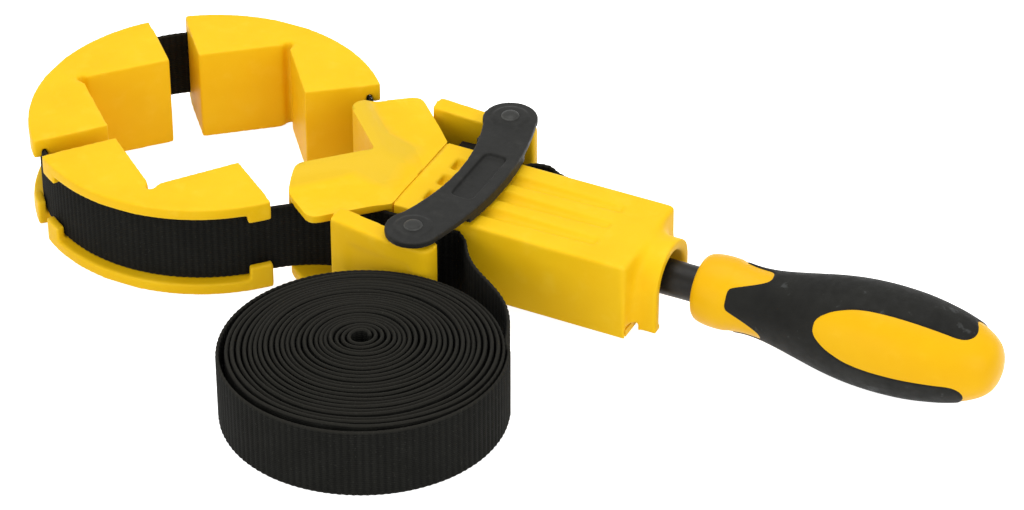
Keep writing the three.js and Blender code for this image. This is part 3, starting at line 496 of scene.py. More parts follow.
def webbing_cloth():
    """Woven band: painted shade between its ribs, with fine yarns along it and paler, fluffy edges."""
    shader = Shader("webbing")

    def attribute(name):
        return shader.add("ShaderNodeAttribute", attribute_name=name).outputs["Fac"]

    place = shader.add("ShaderNodeCombineXYZ", {"X": attribute("along"), "Y": attribute("across")}).outputs[0]
    inputs = {"Vector": place, "Scale": 0.42, "Distortion": 1.2, "Detail": 2, "Detail Scale": 3}
    yarn = shader.add("ShaderNodeTexWave", inputs, bands_direction="Y").outputs["Fac"]
    cloud = shader.between(shader.noise(9, 3), 0.3, 0.7)
    body = shader.mix(cloud, colour(23, 23, 20), colour(30, 30, 27))
    # Painted shade between the ribs, darkest where the band sinks most
    body = shader.mix(shader.between(attribute("sunken"), 0.2, 1, 0, 0.75), body, colour(12, 12, 10))
    body = shader.mix(shader.between(yarn, 0.2, 1, 0.25, 0), body, colour(14, 14, 12))
    from_middle = shader.math("ABSOLUTE", shader.math("SUBTRACT", attribute("across"), BAND_WIDTH / 2))
    edge = shader.between(from_middle, BAND_WIDTH / 2 - 1, BAND_WIDTH / 2 - 0.3)
    body = shader.mix(edge, body, colour(39, 38, 34))
    fluff = shader.between(shader.noise(0.6, 3), 0.62, 0.74, 0, 0.4)
    body = shader.mix(fluff, body, colour(70, 70, 64))
    fine = shader.bump(shader.noise(0.35, 2), 0.07)
    woven = shader.bump(yarn, 0.1, 1.0, fine)
    return shader.finish(colour=body, roughness=0.9, normal=woven, specular=0.1)


def worked_metal(name, main, rough, coarse):
    """Turned or drawn metal, streaked along the screw."""
    shader = Shader(name)
    streak = shader.noise(coarse, 3, stretch=(0.12, 1, 1))
    darker = tuple(0.7 * channel for channel in main[:3]) + (1,)
    body = shader.mix(shader.between(streak, 0.3, 0.7, 0, 0.5), main, darker)
    roughness = shader.between(streak, 0.3, 0.7, rough - 0.06, rough + 0.1)
    return shader.finish(colour=body, roughness=roughness, normal=shader.bump(streak, 0.02), metal=1.0)


def oxide_steel():
    """Steel under a dull black oxide."""
    shader = Shader("black_steel")
    cloud = shader.between(shader.noise(5, 4), 0.35, 0.7)
    body = shader.mix(cloud, colour(22, 20, 17), colour(31, 29, 25))
    roughness = shader.between(shader.noise(1.5, 4), 0.3, 0.7, 0.34, 0.5)
    grain = shader.bump(shader.noise(0.6, 3), 0.02)
    return shader.finish(colour=body, roughness=roughness, normal=grain, metal=0.3, specular=0.3)


# Each plastic's main, deeper and paler tone
YELLOW_TONES = ((246, 198, 20), (243, 192, 12), (252, 208, 54))
HANDLE_TONES = ((238, 183, 9), (235, 177, 6), (245, 195, 40))
BLACK_TONES = ((38, 38, 36), (31, 31, 29), (60, 59, 56))
RIVET_TONES = ((52, 52, 50), (44, 44, 42), (92, 92, 90))
# The duller tone painted as shade on the V's raised rim and tongue
RIM_SHADE_TONE = (230, 189, 36)

YELLOW = moulded_nylon("yellow_nylon", YELLOW_TONES, 0.5, 0.6, 0.04)
YELLOW_V = moulded_nylon("yellow_v_jaw", YELLOW_TONES, 0.5, 0.6, 0.04, v_rim_shade_area, RIM_SHADE_TONE)
YELLOW_HANDLE = moulded_nylon("yellow_handle", HANDLE_TONES, 0.38, 0.8, 0.012)
BLACK_NYLON = moulded_nylon("black_nylon", BLACK_TONES, 0.5, 0.5, 0.05)
RIVET = moulded_nylon("rivet_head", RIVET_TONES, 0.42, 0.5, 0.03)
GRIP = grip_rubber()
WEBBING = webbing_cloth()
BLACK_STEEL = oxide_steel()
STEEL = worked_metal("steel", (0.55, 0.56, 0.58, 1), 0.34, 0.8)
BRONZE = worked_metal("bronze", (0.69, 0.5, 0.28, 1), 0.38, 0.8)


# Mesh helpers

def object_from(name, vertices, faces, material):
    """A smooth mesh object from clamp millimetres."""
    mesh = bpy.data.meshes.new(name)
    mesh.from_pydata(in_frame(vertices).tolist(), [], faces)
    made = bpy.data.objects.new(name, mesh)
    bpy.context.scene.collection.objects.link(made)
    mesh.materials.append(material)
    turn_outwards(mesh)
    mesh.shade_smooth()
    return made


def turn_outwards(mesh):
    work = bmesh.new()
    work.from_mesh(mesh)
    bmesh.ops.recalc_face_normals(work, faces=work.faces)
    if work.calc_volume(signed=True) < 0:
        bmesh.ops.reverse_faces(work, faces=work.faces)
    work.to_mesh(mesh)
    work.free()


def modify(made, kind, **settings):
    added = made.modifiers.new(kind, kind)
    for name, value in settings.items():
        setattr(added, name, value)


def apply_modifiers(made):
    bpy.context.view_layer.update()
    seen = made.evaluated_get(bpy.context.evaluated_depsgraph_get())
    mesh = bpy.data.meshes.new_from_object(seen)
    old = made.data
    made.modifiers.clear()
    made.data = mesh
    bpy.data.meshes.remove(old)


def thin(made, keep):
    """Fewer faces, taken where the surface is flat."""
    modify(made, "DECIMATE", ratio=keep)
    apply_modifiers(made)
    made.data.shade_smooth()


def weigh_normals(made):
    """Flat faces keep their flat look beside rounded edges."""
    modify(made, "WEIGHTED_NORMAL", keep_sharp=False, weight=60)


def soften(made, voxel, passes, keep, reshape=None, softer=None, softer_passes=0):
    """Rounds every edge as a mould does: an even fine mesh, smoothed, then thinned where it is flat."""
    modify(made, "REMESH", mode="VOXEL", voxel_size=voxel * MM)
    modify(made, "SMOOTH", factor=0.5, iterations=passes)
    apply_modifiers(made)
    places = np.empty(3 * len(made.data.vertices))
    made.data.vertices.foreach_get("co", places)
    places = in_clamp(places)
    if reshape:
        made.data.vertices.foreach_set("co", in_frame(reshape(places)).ravel())
    if softer:
        group = made.vertex_groups.new(name="softer")
        for index in np.nonzero(softer(places))[0]:
            group.add([int(index)], 1.0, "REPLACE")
        modify(made, "SMOOTH", factor=0.5, iterations=softer_passes, vertex_group="softer")
        apply_modifiers(made)
        made.vertex_groups.clear()
    thin(made, keep)
    weigh_normals(made)


def soft_copy(name, node, material, voxel=0.5, passes=8, keep=0.25, **shape):
    """A softened copy of a CAD node."""
    made = bpy.data.objects.new(name, nodes[node].data.copy())
    bpy.context.scene.collection.objects.link(made)
    soften(made, voxel, passes, keep, **shape)
    made.data.materials.clear()
    made.data.materials.append(material)
    return made


def settle(made, body, slot, *replaced):
    """The piece moves with a body and stands for CAD nodes, which it hides; its slot is not used."""
    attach(made, body)
    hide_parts(*replaced)
    return made


def tube_faces(count, sides):
    """The faces between rings of points, one ring after the other."""
    faces = []
    for first in range(0, (count - 1) * sides, sides):
        for k in range(sides):
            after = (k + 1) % sides
            faces.append((first + k, first + after, first + sides + after, first + sides + k))
    return faces


def closed_tube(vertices, sides, first_x, last_x):
    """A tube of rings round the screw's axis, closed by a fan of faces at each end."""
    last = len(vertices) - sides
    faces = tube_faces(len(vertices) // sides, sides)
    for first, x in ((0, first_x), (last, last_x)):
        vertices.append((x, 0, AXIS_Z))
        tip = len(vertices) - 1
        faces += [(first + k, first + (k + 1) % sides, tip) for k in range(sides)]
    return vertices, faces


def lathe(profile, sides):
    """A turned closed surface on the screw's axis, from points (x, radius); its ends lie on the axis."""
    turns = np.linspace(0, 2 * math.pi, sides, endpoint=False)
    vertices = []
    for x, radius in profile[1:-1]:
        vertices += [(x, radius * math.cos(t), AXIS_Z + radius * math.sin(t)) for t in turns]
    return closed_tube(vertices, sides, profile[0][0], profile[-1][0])


def smooth_step(value, low, high):
    share = np.clip((value - low) / (high - low), 0, 1)
    return share * share * (3 - 2 * share)


def polar(radius, degrees):
    return radius * math.cos(math.radians(degrees)), radius * math.sin(math.radians(degrees))


def along_curve(points, step):
    """Even points on a smooth curve through the given ones."""
    given = np.array(points, float)
    given = np.vstack([2 * given[0] - given[1], given, 2 * given[-1] - given[-2]])
    curve = []
    for a, b, c, d in zip(given, given[1:], given[2:], given[3:]):
        pairs = ((a, b), (b, c), (c, d))
        times = np.cumsum([0] + [np.linalg.norm(q - p) ** 0.5 for p, q in pairs])
        t = np.linspace(times[1], times[2], CURVE_STEPS, endpoint=False)[:, None]

        def blend(p, q, start, end):
            return p * (end - t) / (end - start) + q * (t - start) / (end - start)

        ab, bc, cd = (blend(p, q, times[i], times[i + 1]) for i, (p, q) in enumerate(pairs))
        abc, bcd = blend(ab, bc, times[0], times[2]), blend(bc, cd, times[1], times[3])
        curve.append(blend(abc, bcd, times[1], times[2]))
    curve.append(given[-2:-1])
    return evenly(np.vstack(curve), step)


def lengths_along(line):
    return np.concatenate([[0], np.cumsum(np.linalg.norm(np.diff(line, axis=0), axis=1))])


def evenly(line, step):
    """The line again with points at even distances."""
    far = lengths_along(line)
    wanted = np.linspace(0, far[-1], max(2, round(far[-1] / step) + 1))
    return np.stack([np.interp(wanted, far, line[:, k]) for k in range(3)], 1)


def waves(far, period, seed):
    """A slow uneven wave from -1 to 1 along the band."""
    random = np.random.default_rng(seed)
    knots = random.uniform(-1, 1, int(far[-1] / period) + 4)
    return np.interp(far / period, np.arange(len(knots)), knots)


# Webbing

def webbing(name, line, ribbed=1.0, start=0.0):
    """A band on edge along the line of its lower edge, with a rib across it at each pick of the weave."""
    far = lengths_along(line) + start
    flat = np.gradient(line[:, :2], axis=0)
    flat /= np.linalg.norm(flat, axis=1)[:, None]
    normal = np.stack([-flat[:, 1], flat[:, 0]], 1)
    unevenness = waves(far - start + RIB_UNEVEN_START, RIB_UNEVEN_PERIOD, RIB_UNEVEN_SEED)
    depth = RIB_DEPTH * ribbed * (1 - RIB_UNEVEN + RIB_UNEVEN * unevenness)
    crest = 0.5 - 0.5 * np.cos(2 * math.pi * far / RIB_PITCH)
    backwards = BAND_EDGE[::-1]
    lower = list(BAND_EDGE) + [(-share, up) for share, up in backwards]
    upper = [(-share, BAND_WIDTH - up) for share, up in BAND_EDGE]
    upper += [(share, BAND_WIDTH - up) for share, up in backwards]
    rings, sunken = [], []
    for (share, up), inwards in [(point, 1) for point in lower] + [(point, -1) for point in upper]:
        sunken.append(crest if share > 0 else 1 - crest)
        out = share * BAND_THICKNESS / 2 - np.sign(share) * (depth * sunken[-1]) * abs(share)
        lift = EDGE_RIPPLE_SHARE * depth * crest * inwards
        rings.append(np.column_stack([line[:, :2] + normal * out[:, None], line[:, 2] + up + lift]))
    count, sides = len(line), len(rings)
    faces = tube_faces(count, sides)
    faces.append(tuple(range(sides)))
    faces.append(tuple((count - 1) * sides + k for k in reversed(range(sides))))
    made = object_from(name, np.stack(rings, 1).reshape(-1, 3), faces, WEBBING)
    values_by_name = {
        "along": np.repeat(far, sides),
        "across": np.tile([up for _, up in lower + upper], count),
        "sunken": np.stack(sunken, 1).ravel(),
    }
    for attribute, values in values_by_name.items():
        layer = made.data.attributes.new(attribute, "FLOAT", "POINT")
        layer.data.foreach_set("value", values.astype(np.float32))
    return made


def approach(angle, side):
    """From a jaw's end to the slot beside the housing."""
    end_x, end_y = polar(BAND_RADIUS, angle)
    run_x, run_y = SEAM_X - end_x, abs(end_y) - BAND_WALL_Y
    return [(end_x + run_x * along, side * (BAND_WALL_Y + run_y * across))
            for along, across in APPROACH_SHARES]


def loop_line():
    """From the near slot round the jaws, through the far slot and to the short end behind it."""
    near = [(CHEEK_REAR_X, -BAND_WALL_Y), (SEAM_X, -BAND_WALL_Y)] + approach(-FRONT_START_ANGLE, -1)[::-1]
    sweep = 360 - BACK_START_ANGLE - FRONT_START_ANGLE
    arc = [polar(BAND_RADIUS, -FRONT_START_ANGLE - sweep * i / ARC_STEPS) for i in range(ARC_STEPS + 1)]
    far = approach(BACK_START_ANGLE, 1) + [(SEAM_X, BAND_WALL_Y), (CHEEK_REAR_X, BAND_WALL_Y)]
    run = HOUSING_REAR_X - LOOSE_END_SETBACK - CHEEK_REAR_X
    loose = [(CHEEK_REAR_X + run * along, BAND_WALL_Y + LOOSE_LIFT * away) for along, away in LOOSE_SHARES]
    return along_curve([(x, y, BAND_BASE) for x, y in near + arc + far + loose], FINE_STEP)


def coil_line():
    """The coil from outside in: oval turns, tighter on one side, that stand a little unevenly."""
    middle_radius = COIL_EYE_RADIUS + COIL_LOOPS * COIL_SPACING
    meet = np.array(TAIL_ROUTE[-1][:2])
    lead = np.array(polar(1, COIL_START_ANGLE - 90))
    long_way = np.array(polar(1, COIL_LONG_ANGLE))

    def oval(turn):
        radius = middle_radius - COIL_SPACING * turn
        radius += COIL_LOOSE_LIFT * math.sin(math.pi * min(turn, 1)) ** 2
        radius += COIL_UNEVEN * math.sin(turn) * min(turn, 1)
        ripple = math.sin(4 * math.pi * turn + COIL_RIPPLE_DRIFT * turn)
        radius += COIL_UNEVEN * ripple * min(turn / 2, 1) * COIL_RIPPLE_SHARE
        place = np.array(polar(radius, COIL_START_ANGLE - 360 * turn))
        return COIL_NARROWING * place + (COIL_LENGTHENING - COIL_NARROWING) * place.dot(long_way) * long_way

    middle = meet + lead * COIL_LEAD - oval(0) + long_way * COIL_SHIFT
    turns = np.linspace(0, COIL_LOOPS, COIL_LOOPS * STEPS_PER_TURN + 1)
    shift = np.array(COIL_EYE_SHIFT)
    flat = np.array([middle + oval(turn) + shift * (turn / COIL_LOOPS) for turn in turns])
    line = np.column_stack([flat, np.zeros(len(flat))])
    far = lengths_along(line)
    rise = sum(height * (1 + waves(far, period, seed)) for height, period, seed in COIL_HEIGHTS)
    line[:, 2] = rise * smooth_step(far, COIL_LEVEL_LENGTH, COIL_UNEVEN_LENGTH)
    return line


def make_band():
    settle(webbing("webbing_loop", loop_line()), "housing", "webbing", "band_loop")
    tail = along_curve(TAIL_ROUTE, FINE_STEP)
    coil = coil_line()
    outer_length = 2 * math.pi * (COIL_EYE_RADIUS + COIL_LOOPS * COIL_SPACING)
    cut = int(np.searchsorted(lengths_along(coil), outer_length * OUTER_TURN_SHARE))
    outer, inner = coil[: cut + 1], coil[cut:]
    whole = along_curve(np.vstack([tail[::PATH_STRIDE], outer]), FINE_STEP)
    split = round(CORD_LENGTH / FINE_STEP)
    free, rest = whole[: split + 1], whole[split:]
    free_length = lengths_along(free)[-1]
    hanging = settle(webbing("webbing_tail", free), "housing", "webbing", "band_tail")
    centre = in_frame(free + np.array([0, 0, BAND_WIDTH / 2]))

    # The inner turns show no ribs, and their line has wider steps
    rest = np.vstack([rest, inner[1:]])
    ribbed = np.concatenate([np.ones(len(rest) - len(inner) + 1), np.zeros(len(inner) - 1)])
    coiled = webbing("webbing_coil", rest, ribbed, start=free_length)
    settle(coiled, "housing", "webbing", "band_coil")


# Moulded pieces

def raise_v(places):
    """Raises a broad rim behind the V's sides, and a tongue from its vertex that falls to the housing."""
    x, y, z = places.T
    behind = (x - VERTEX_X + np.sqrt(y * y + VERTEX_ROUND**2)) / math.sqrt(2)
    beside = np.abs(y) - V_TONGUE_HALF
    past_rim = np.exp(-(behind - V_RIM_WIDTH) / V_CORNER_SOFTNESS)
    outside = -V_CORNER_SOFTNESS * np.log(past_rim + np.exp(-beside / V_CORNER_SOFTNESS))
    fall = V_FALL * np.clip((behind - V_FALL_START) / V_FALL_RUN, 0, 1)
    rise = (V_RISE - fall) * (1 - smooth_step(outside, -V_STEP_RUN / 2, V_STEP_RUN / 2))
    level = V_TOP_Z - SEAM_STEP * smooth_step(x, SEAM_X - SEAM_STEP_START, SEAM_X - SEAM_STEP_END)
    top = smooth_step(z, V_TOP_Z - V_SKIN_FOOT, V_TOP_Z - V_SKIN_FULL)
    raised = places.copy()
    raised[:, 2] = z + (level + rise - z) * top
    return raised


def v_top_edge(places):
    """The rounded top edge of the V."""
    x, y, z = places.T
    beside_notch = x - VERTEX_X + np.abs(y) < V_SOFT_WIDTH
    return beside_notch & (z > V_TOP_Z - V_SOFT_DEPTH) & (x < SEAM_X - V_SOFT_SEAM_GAP)


def shape_bar(places):
    """Closes the sink round each rivet with a low round pad, and deepens the bar's sunken field."""
    x, y, z = places.T
    from_rivet = np.hypot(x - RIVET_X, np.abs(y) - RIVET_Y)
    pad = BAR_TOP_Z + PAD_RISE * (1 - smooth_step(from_rivet, *PAD_RADII))
    shaped = places.copy()
    shaped[:, 2] = np.where((from_rivet < SINK_RADIUS) & (z > BAR_TOP_Z - SINK_DEPTH), pad, z)
    inside = (np.abs(x - RECESS_X) < RECESS_HALF_WIDTH) & (np.abs(y) < RECESS_HALF_LENGTH)
    inside &= z > BAR_TOP_Z - RECESS_MOST_DEPTH
    shaped[:, 2] -= np.where(inside, RECESS_GAIN * smooth_step(BAR_TOP_Z - z, *RECESS_WALL_DEPTHS), 0)
    return shaped


def bar_top(places):
    return places[:, 2] > BAR_SOFT_Z


def shape_housing(places):
    """Raises the cheeks' front tops, deepens the grooves, sharpens the seam's edge and rounds the hood."""
    x, y, z = places.T
    shaped = places.copy()
    rise = CHEEK_RISE * smooth_step(np.abs(y), *CHEEK_RISE_Y) * smooth_step(z, *CHEEK_RISE_Z)
    shaped[:, 2] += rise * (1 - smooth_step(x, *CHEEK_RISE_X))
    depth = HOUSING_TOP_Z - z
    grooved = (z > HOUSING_TOP_Z - GROOVE_MOST_DEPTH) & (depth > GROOVE_LEAST_DEPTH)
    grooved &= (x > SEAM_X + GROOVE_FRONT_GAP) & (x < HOUSING_REAR_X - GROOVE_REAR_GAP)
    grooved &= np.abs(y) < HOUSING_HALF - GROOVE_SIDE_GAP
    shaped[:, 2] = np.where(grooved, HOUSING_TOP_Z - depth * GROOVE_GAIN, shaped[:, 2])
    seam_edge = (x < SEAM_X + SEAM_EDGE_BEHIND) & (x > SEAM_X - SEAM_EDGE_AHEAD)
    seam_edge &= (np.abs(y) < HOUSING_HALF - SEAM_EDGE_SIDE_GAP) & (z > HOUSING_TOP_Z - SEAM_EDGE_DEPTH)
    shaped[:, 2] = np.where(seam_edge, HOUSING_TOP_Z - SEAM_EDGE_DROP, shaped[:, 2])
    pull = 1 - HOOD_RADIUS / np.maximum(np.hypot(y, z - AXIS_Z), HOOD_RADIUS)
    pull = pull * smooth_step(x, HOUSING_REAR_X - HOOD_AHEAD, HOUSING_REAR_X + HOOD_BEHIND)
    pull = np.where(z > AXIS_Z + HOOD_FOOT_RISE, pull, 0)
    shaped[:, 1] -= y * pull
    shaped[:, 2] -= (z - AXIS_Z) * pull
    return shaped


def housing_corners(places):
    """The housing's rear end and long top edges, and the panels on the cheeks."""
    x, y, z = places.T
    rear_end = (x > HOUSING_REAR_X - REAR_END_LENGTH) & (z > REAR_END_FOOT_Z)
    panels = (np.abs(y) > CHEEK_PANEL_Y) & (z > CHEEK_PANEL_FOOT_Z)
    long_edges = (np.abs(y) > HOUSING_HALF - LONG_EDGE_WIDTH) & (np.abs(y) < HOUSING_HALF + LONG_EDGE_OUT)
    long_edges &= (z > HOUSING_TOP_Z - LONG_EDGE_WIDTH) & (x > CHEEK_REAR_X)
    return rear_end | panels | long_edges


def make_corner_jaw(place, angle):
    corner = np.array(polar(NOTCH_RADIUS, angle))

    def notch_corner(places):
        return np.linalg.norm(places[:, :2] - corner, axis=1) < NOTCH_SOFT_RADIUS

    jaw = soft_copy(f"jaw_{place}_moulding", f"corner_jaw_{place}", YELLOW, passes=14,
                    softer=notch_corner, softer_passes=40)
    settle(jaw, f"jaw_{place}", "yellow_nylon", f"corner_jaw_{place}")


def make_moulded():
    for place, angle in JAW_ANGLES.items():
        make_corner_jaw(place, angle)
    v_jaw = soft_copy("v_jaw_moulding", "v_jaw", YELLOW_V,
                      reshape=raise_v, softer=v_top_edge, softer_passes=12)
    settle(v_jaw, "v_head", "yellow_nylon", "v_jaw")
    housing = soft_copy("housing_moulding", "housing_shell", YELLOW,
                        reshape=shape_housing, softer=housing_corners, softer_passes=45)
    settle(housing, "housing", "yellow_nylon", "housing_shell")
    bar = soft_copy("release_bar_moulding", "release_bar", BLACK_NYLON, voxel=0.35, keep=0.35,
                    reshape=shape_bar, softer=bar_top, softer_passes=4)
    settle(bar, "release", "black_nylon", "release_bar")
    for side in ("near", "far"):
        node = f"lock_wedge_{side}"
        wedge = soft_copy(f"wedge_{side}_moulding", node, BLACK_NYLON, voxel=0.35, passes=2, keep=0.3)
        settle(wedge, "release", "black_nylon", node)


def make_rivets():
    """Domed heads on short shanks; a head's edge has two rings, which keep it sharp."""
    seat_z = BAR_TOP_Z + RIVET_SEAT_RISE
    profile = [(RIVET_FOOT_Z, 0), (RIVET_FOOT_Z, RIVET_RADIUS)]
    profile += [(seat_z, RIVET_RADIUS), (seat_z, RIVET_HEAD_RADIUS)]
    for step in range(DOME_STEPS + 1):
        turn = math.radians(90 / DOME_STEPS * step)
        radius = RIVET_HEAD_RADIUS * math.cos(turn) ** DOME_SQUARENESS
        profile.append((seat_z + RIVET_HEAD_HEIGHT * math.sin(turn), radius))
    vertices, faces = lathe(profile, RIVET_SIDES)
    for side, sign in (("near", -1), ("far", 1)):
        upright = [(y + RIVET_X, z - AXIS_Z + sign * RIVET_Y, x) for x, y, z in vertices]
        made = object_from(f"rivet_{side}_dome", upright, faces, RIVET)
        settle(made, "release", "black_nylon", f"bar_rivet_{side}")


# The spindle and the handle

def threaded(x, y, z):
    """A point of the spindle, moved out to the thread's crest where the thread passes it."""
    if not THREAD_START_X <= x <= THREAD_END_X:
        return x, y, z
    radius = math.hypot(y, z - AXIS_Z)
    turn = math.atan2(z - AXIS_Z, y) / (2 * math.pi)
    phase = (-(x - THREAD_START_X) / THREAD_PITCH - turn) % 1
    crest = smooth_step(0.5 - abs(phase - 0.5), *THREAD_FLANK_SHARES)
    begun = smooth_step(x, THREAD_START_X, THREAD_START_X + THREAD_FADE)
    ended = smooth_step(x, THREAD_END_X - THREAD_FADE, THREAD_END_X)
    grown = THREAD_ROOT_RADIUS + (SPINDLE_RADIUS - THREAD_ROOT_RADIUS) * crest * (begun * (1 - ended))
    return x, y * grown / radius, AXIS_Z + (z - AXIS_Z) * grown / radius


def make_spindle():
    """A black shaft with a rolled thread at its front and a thrust collar."""
    collar_end_x = COLLAR_X + COLLAR_LENGTH
    profile = [
        (SPINDLE_START_X, 0),
        (SPINDLE_START_X, THREAD_ROOT_RADIUS - SPINDLE_CHAMFER),
        (SPINDLE_START_X + SPINDLE_CHAMFER, THREAD_ROOT_RADIUS),
    ]
    run = THREAD_END_X - THREAD_START_X
    for i in range(THREAD_STEPS + 1):
        profile.append((THREAD_START_X + run * i / THREAD_STEPS, THREAD_ROOT_RADIUS))
    profile += [
        (THREAD_RUN_OUT_X, SPINDLE_RADIUS),
        (COLLAR_X, SPINDLE_RADIUS),
        (COLLAR_X, COLLAR_RADIUS - COLLAR_CHAMFER),
        (COLLAR_X + COLLAR_CHAMFER, COLLAR_RADIUS),
        (collar_end_x - COLLAR_CHAMFER, COLLAR_RADIUS),
        (collar_end_x, COLLAR_RADIUS - COLLAR_CHAMFER),
        (collar_end_x, SPINDLE_RADIUS),
        (SPINDLE_REAR_X, SPINDLE_RADIUS),
        (SPINDLE_END_X, SPINDLE_RADIUS - SPINDLE_TAPER),
        (SPINDLE_END_X, 0),
    ]
    vertices, faces = lathe(profile, SPINDLE_SIDES)
    made = object_from("spindle_shaft", [threaded(*point) for point in vertices], faces, BLACK_STEEL)
    weigh_normals(made)
    settle(made, "spindle", "black_steel", "spindle")


def handle_line():
    points = [(HANDLE_FRONT_X + along * HANDLE_LENGTH, across * HANDLE_RADIUS, 0)
              for along, across in HANDLE_OUTLINE_SHARES]
    return along_curve(points, HANDLE_STEP)[:, :2]


def make_core():
    sink_start, sink_end = HANDLE_FRONT_X + CORE_SINK_START, HANDLE_FRONT_X + CORE_SINK_END
    profile = [(HANDLE_FRONT_X, 0), (HANDLE_FRONT_X, SPINDLE_RADIUS + CORE_MOUTH_GAP)]
    for x, radius in handle_line():
        profile.append((x, radius - CORE_SINK * float(smooth_step(x, sink_start, sink_end))))
    profile.append((HANDLE_FRONT_X + HANDLE_LENGTH, 0))
    vertices, faces = lathe(profile, CORE_SIDES)
    made = object_from("handle_core_moulding", vertices, faces, YELLOW_HANDLE)
    settle(made, "spindle", "yellow_handle", "handle_core")


def whole_edge(points):
    """The edge as a smooth line, carried on past both of its ends by their mirror images."""
    scaled = [(x, degrees / DEGREES_A_STEP, 0) for x, degrees in points]
    line = along_curve(scaled, EDGE_STEP)[:, :2] * (1, DEGREES_A_STEP)
    before = line[EDGE_OVERRUN:0:-1] * (1, -1)
    after = line[-2 : -2 - EDGE_OVERRUN : -1] * (1, -1) + (0, 180)
    return np.vstack([before, line, after])


def distance_on_skin(line, x, degrees, radius):
    """The least distances in millimetres from a ring's points to a line, with the skin laid flat."""
    places = np.column_stack([line[:, 0] - x, np.radians(line[:, 1]) * radius])
    steps = np.diff(places, axis=0)
    points = np.column_stack([np.zeros(len(degrees)), np.radians(degrees) * radius])
    gaps = points[:, None] - places[None, :-1]
    shares = np.clip((gaps * steps).sum(2) / (steps**2).sum(1), 0, 1)
    return np.linalg.norm(gaps - shares[..., None] * steps, axis=2).min(1)


def make_grip():
    """The overmould: a skin just over the core, which dives under the core's surface outside its outline."""
    rear, front = whole_edge(REAR_EDGE), whole_edge(FRONT_EDGE)
    line = handle_line()
    turns = np.linspace(0, 360, GRIP_SIDES, endpoint=False)
    degrees = np.abs((turns + 90) % 180 - 90)
    elevation = np.radians(WINDOW_ELEVATION + turns)
    stations = np.arange(HANDLE_FRONT_X + GRIP_START, HANDLE_FRONT_X + GRIP_END, GRIP_STEP)
    vertices = []
    for x in stations:
        radius = float(np.interp(x, line[:, 0], line[:, 1]))
        behind_front = x > np.interp(degrees, front[:, 1], front[:, 0])
        before_rear = x < np.interp(degrees, rear[:, 1], rear[:, 0])
        from_front = distance_on_skin(front, x, degrees, radius)
        from_rear = distance_on_skin(rear, x, degrees, radius)
        away = np.minimum(from_front, from_rear)
        away = np.where(behind_front & before_rear, away, -away)
        skin = radius + GRIP_STAND - GRIP_DIVE * (1 - smooth_step(away, *GRIP_ROLL))
        ring = [np.full(GRIP_SIDES, x), -skin * np.cos(elevation), AXIS_Z + skin * np.sin(elevation)]
        vertices += np.column_stack(ring).tolist()
    vertices, faces = closed_tube(vertices, GRIP_SIDES, float(stations[0]), float(stations[-1]))
    grip = object_from("handle_grip_moulding", vertices, faces, GRIP)
    thin(grip, GRIP_KEEP)
    settle(grip, "spindle", "grip_rubber", "handle_grip")


def finish_cad_nodes():
    """The pieces whose CAD shape is right keep it and get their finish."""
    finishes = {"base_cover": YELLOW, "v_jaw_nut": STEEL}
    finishes.update({f"cover_screw_{i}": STEEL for i in range(1, 5)})
    finishes.update({f"spindle_bush_{place}": BRONZE for place in ("front", "middle", "rear")})
    finishes.update({f"thrust_washer_{place}": BRONZE for place in ("front", "rear")})
    for name, material in finishes.items():
        nodes[name].data.materials.clear()
        nodes[name].data.materials.append(material)


# Floor and light

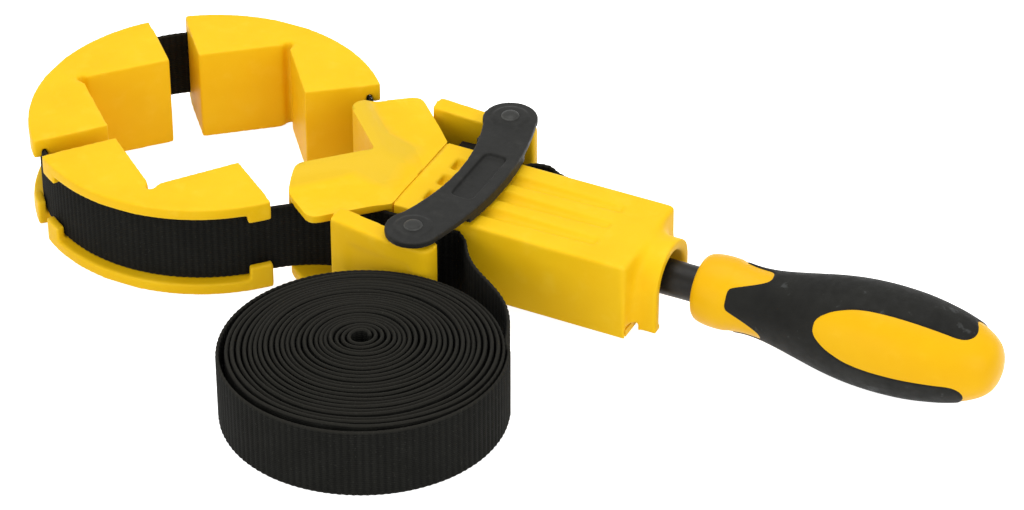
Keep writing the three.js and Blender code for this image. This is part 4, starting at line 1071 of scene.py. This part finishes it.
def floor_material():
    """Pale paper that takes the shadow, and looks white to the camera, in gloss and through glass."""
    shader = Shader("floor")
    tree = shader.tree
    paper = shader.add("ShaderNodeBsdfDiffuse", {"Color": (FLOOR_WHITE, FLOOR_WHITE, FLOOR_WHITE, 1)})
    glow = shader.add("ShaderNodeEmission", {"Color": (1, 1, 1, 1), "Strength": FLOOR_WHITE})
    both = shader.add("ShaderNodeAddShader")
    tree.links.new(paper.outputs[0], both.inputs[0])
    tree.links.new(glow.outputs[0], both.inputs[1])
    path = shader.add("ShaderNodeLightPath").outputs
    seen = shader.math("ADD", shader.math("ADD", path["Is Camera Ray"], path["Is Glossy Ray"]),
                       path["Is Transmission Ray"], clamp=True)
    chosen = shader.add("ShaderNodeMixShader", {"Fac": seen})
    tree.links.new(paper.outputs[0], chosen.inputs[1])
    tree.links.new(both.outputs[0], chosen.inputs[2])
    tree.links.new(chosen.outputs[0], tree.nodes["Material Output"].inputs["Surface"])
    tree.nodes.remove(shader.surface)
    return shader.material


def make_floor():
    mesh = bpy.data.meshes.new("floor")
    corners = [(x * FLOOR_REACH, y * FLOOR_REACH, 0) for x, y in ((-1, -1), (1, -1), (1, 1), (-1, 1))]
    mesh.from_pydata(corners, [], [(0, 1, 2, 3)])
    mesh.materials.append(floor_material())
    floor = bpy.data.objects.new("floor", mesh)
    floor.location.z = -FLOOR_DROP
    bpy.context.scene.collection.objects.link(floor)


def make_world():
    """An even white room, which lights the clamp less strongly than it looks."""
    world = bpy.data.worlds.new("studio")
    bpy.context.scene.world = world
    world.use_nodes = True
    sky = world.node_tree
    path = sky.nodes.new("ShaderNodeLightPath").outputs
    seen = path["Is Camera Ray"]
    for ray in ("Is Glossy Ray", "Is Transmission Ray"):
        added = sky.nodes.new("ShaderNodeMath")
        sky.links.new(seen, added.inputs[0])
        sky.links.new(path[ray], added.inputs[1])
        seen = added.outputs[0]
    level = sky.nodes.new("ShaderNodeMapRange")
    sky.links.new(seen, level.inputs["Value"])
    level.inputs["To Min"].default_value = WORLD_LIGHT
    level.inputs["To Max"].default_value = 1.0
    background = sky.nodes["Background"]
    background.inputs["Color"].default_value = (1, 1, 1, 1)
    sky.links.new(level.outputs["Result"], background.inputs["Strength"])


def make_lamps():
    for name, energy, size, place in LAMPS:
        data = bpy.data.lights.new(name, "AREA")
        data.energy = energy
        data.shape = "SQUARE"
        data.size = size
        lamp = bpy.data.objects.new(name, data)
        bpy.context.scene.collection.objects.link(lamp)
        lamp.location = place
        lamp.rotation_euler = (-Vector(place)).to_track_quat("-Z", "Y").to_euler()


make_camera()
make_band()
make_moulded()
make_rivets()
make_spindle()
make_core()
make_grip()
finish_cad_nodes()
make_floor()
make_world()
make_lamps()

bpy.context.scene.view_settings.view_transform = "Standard"
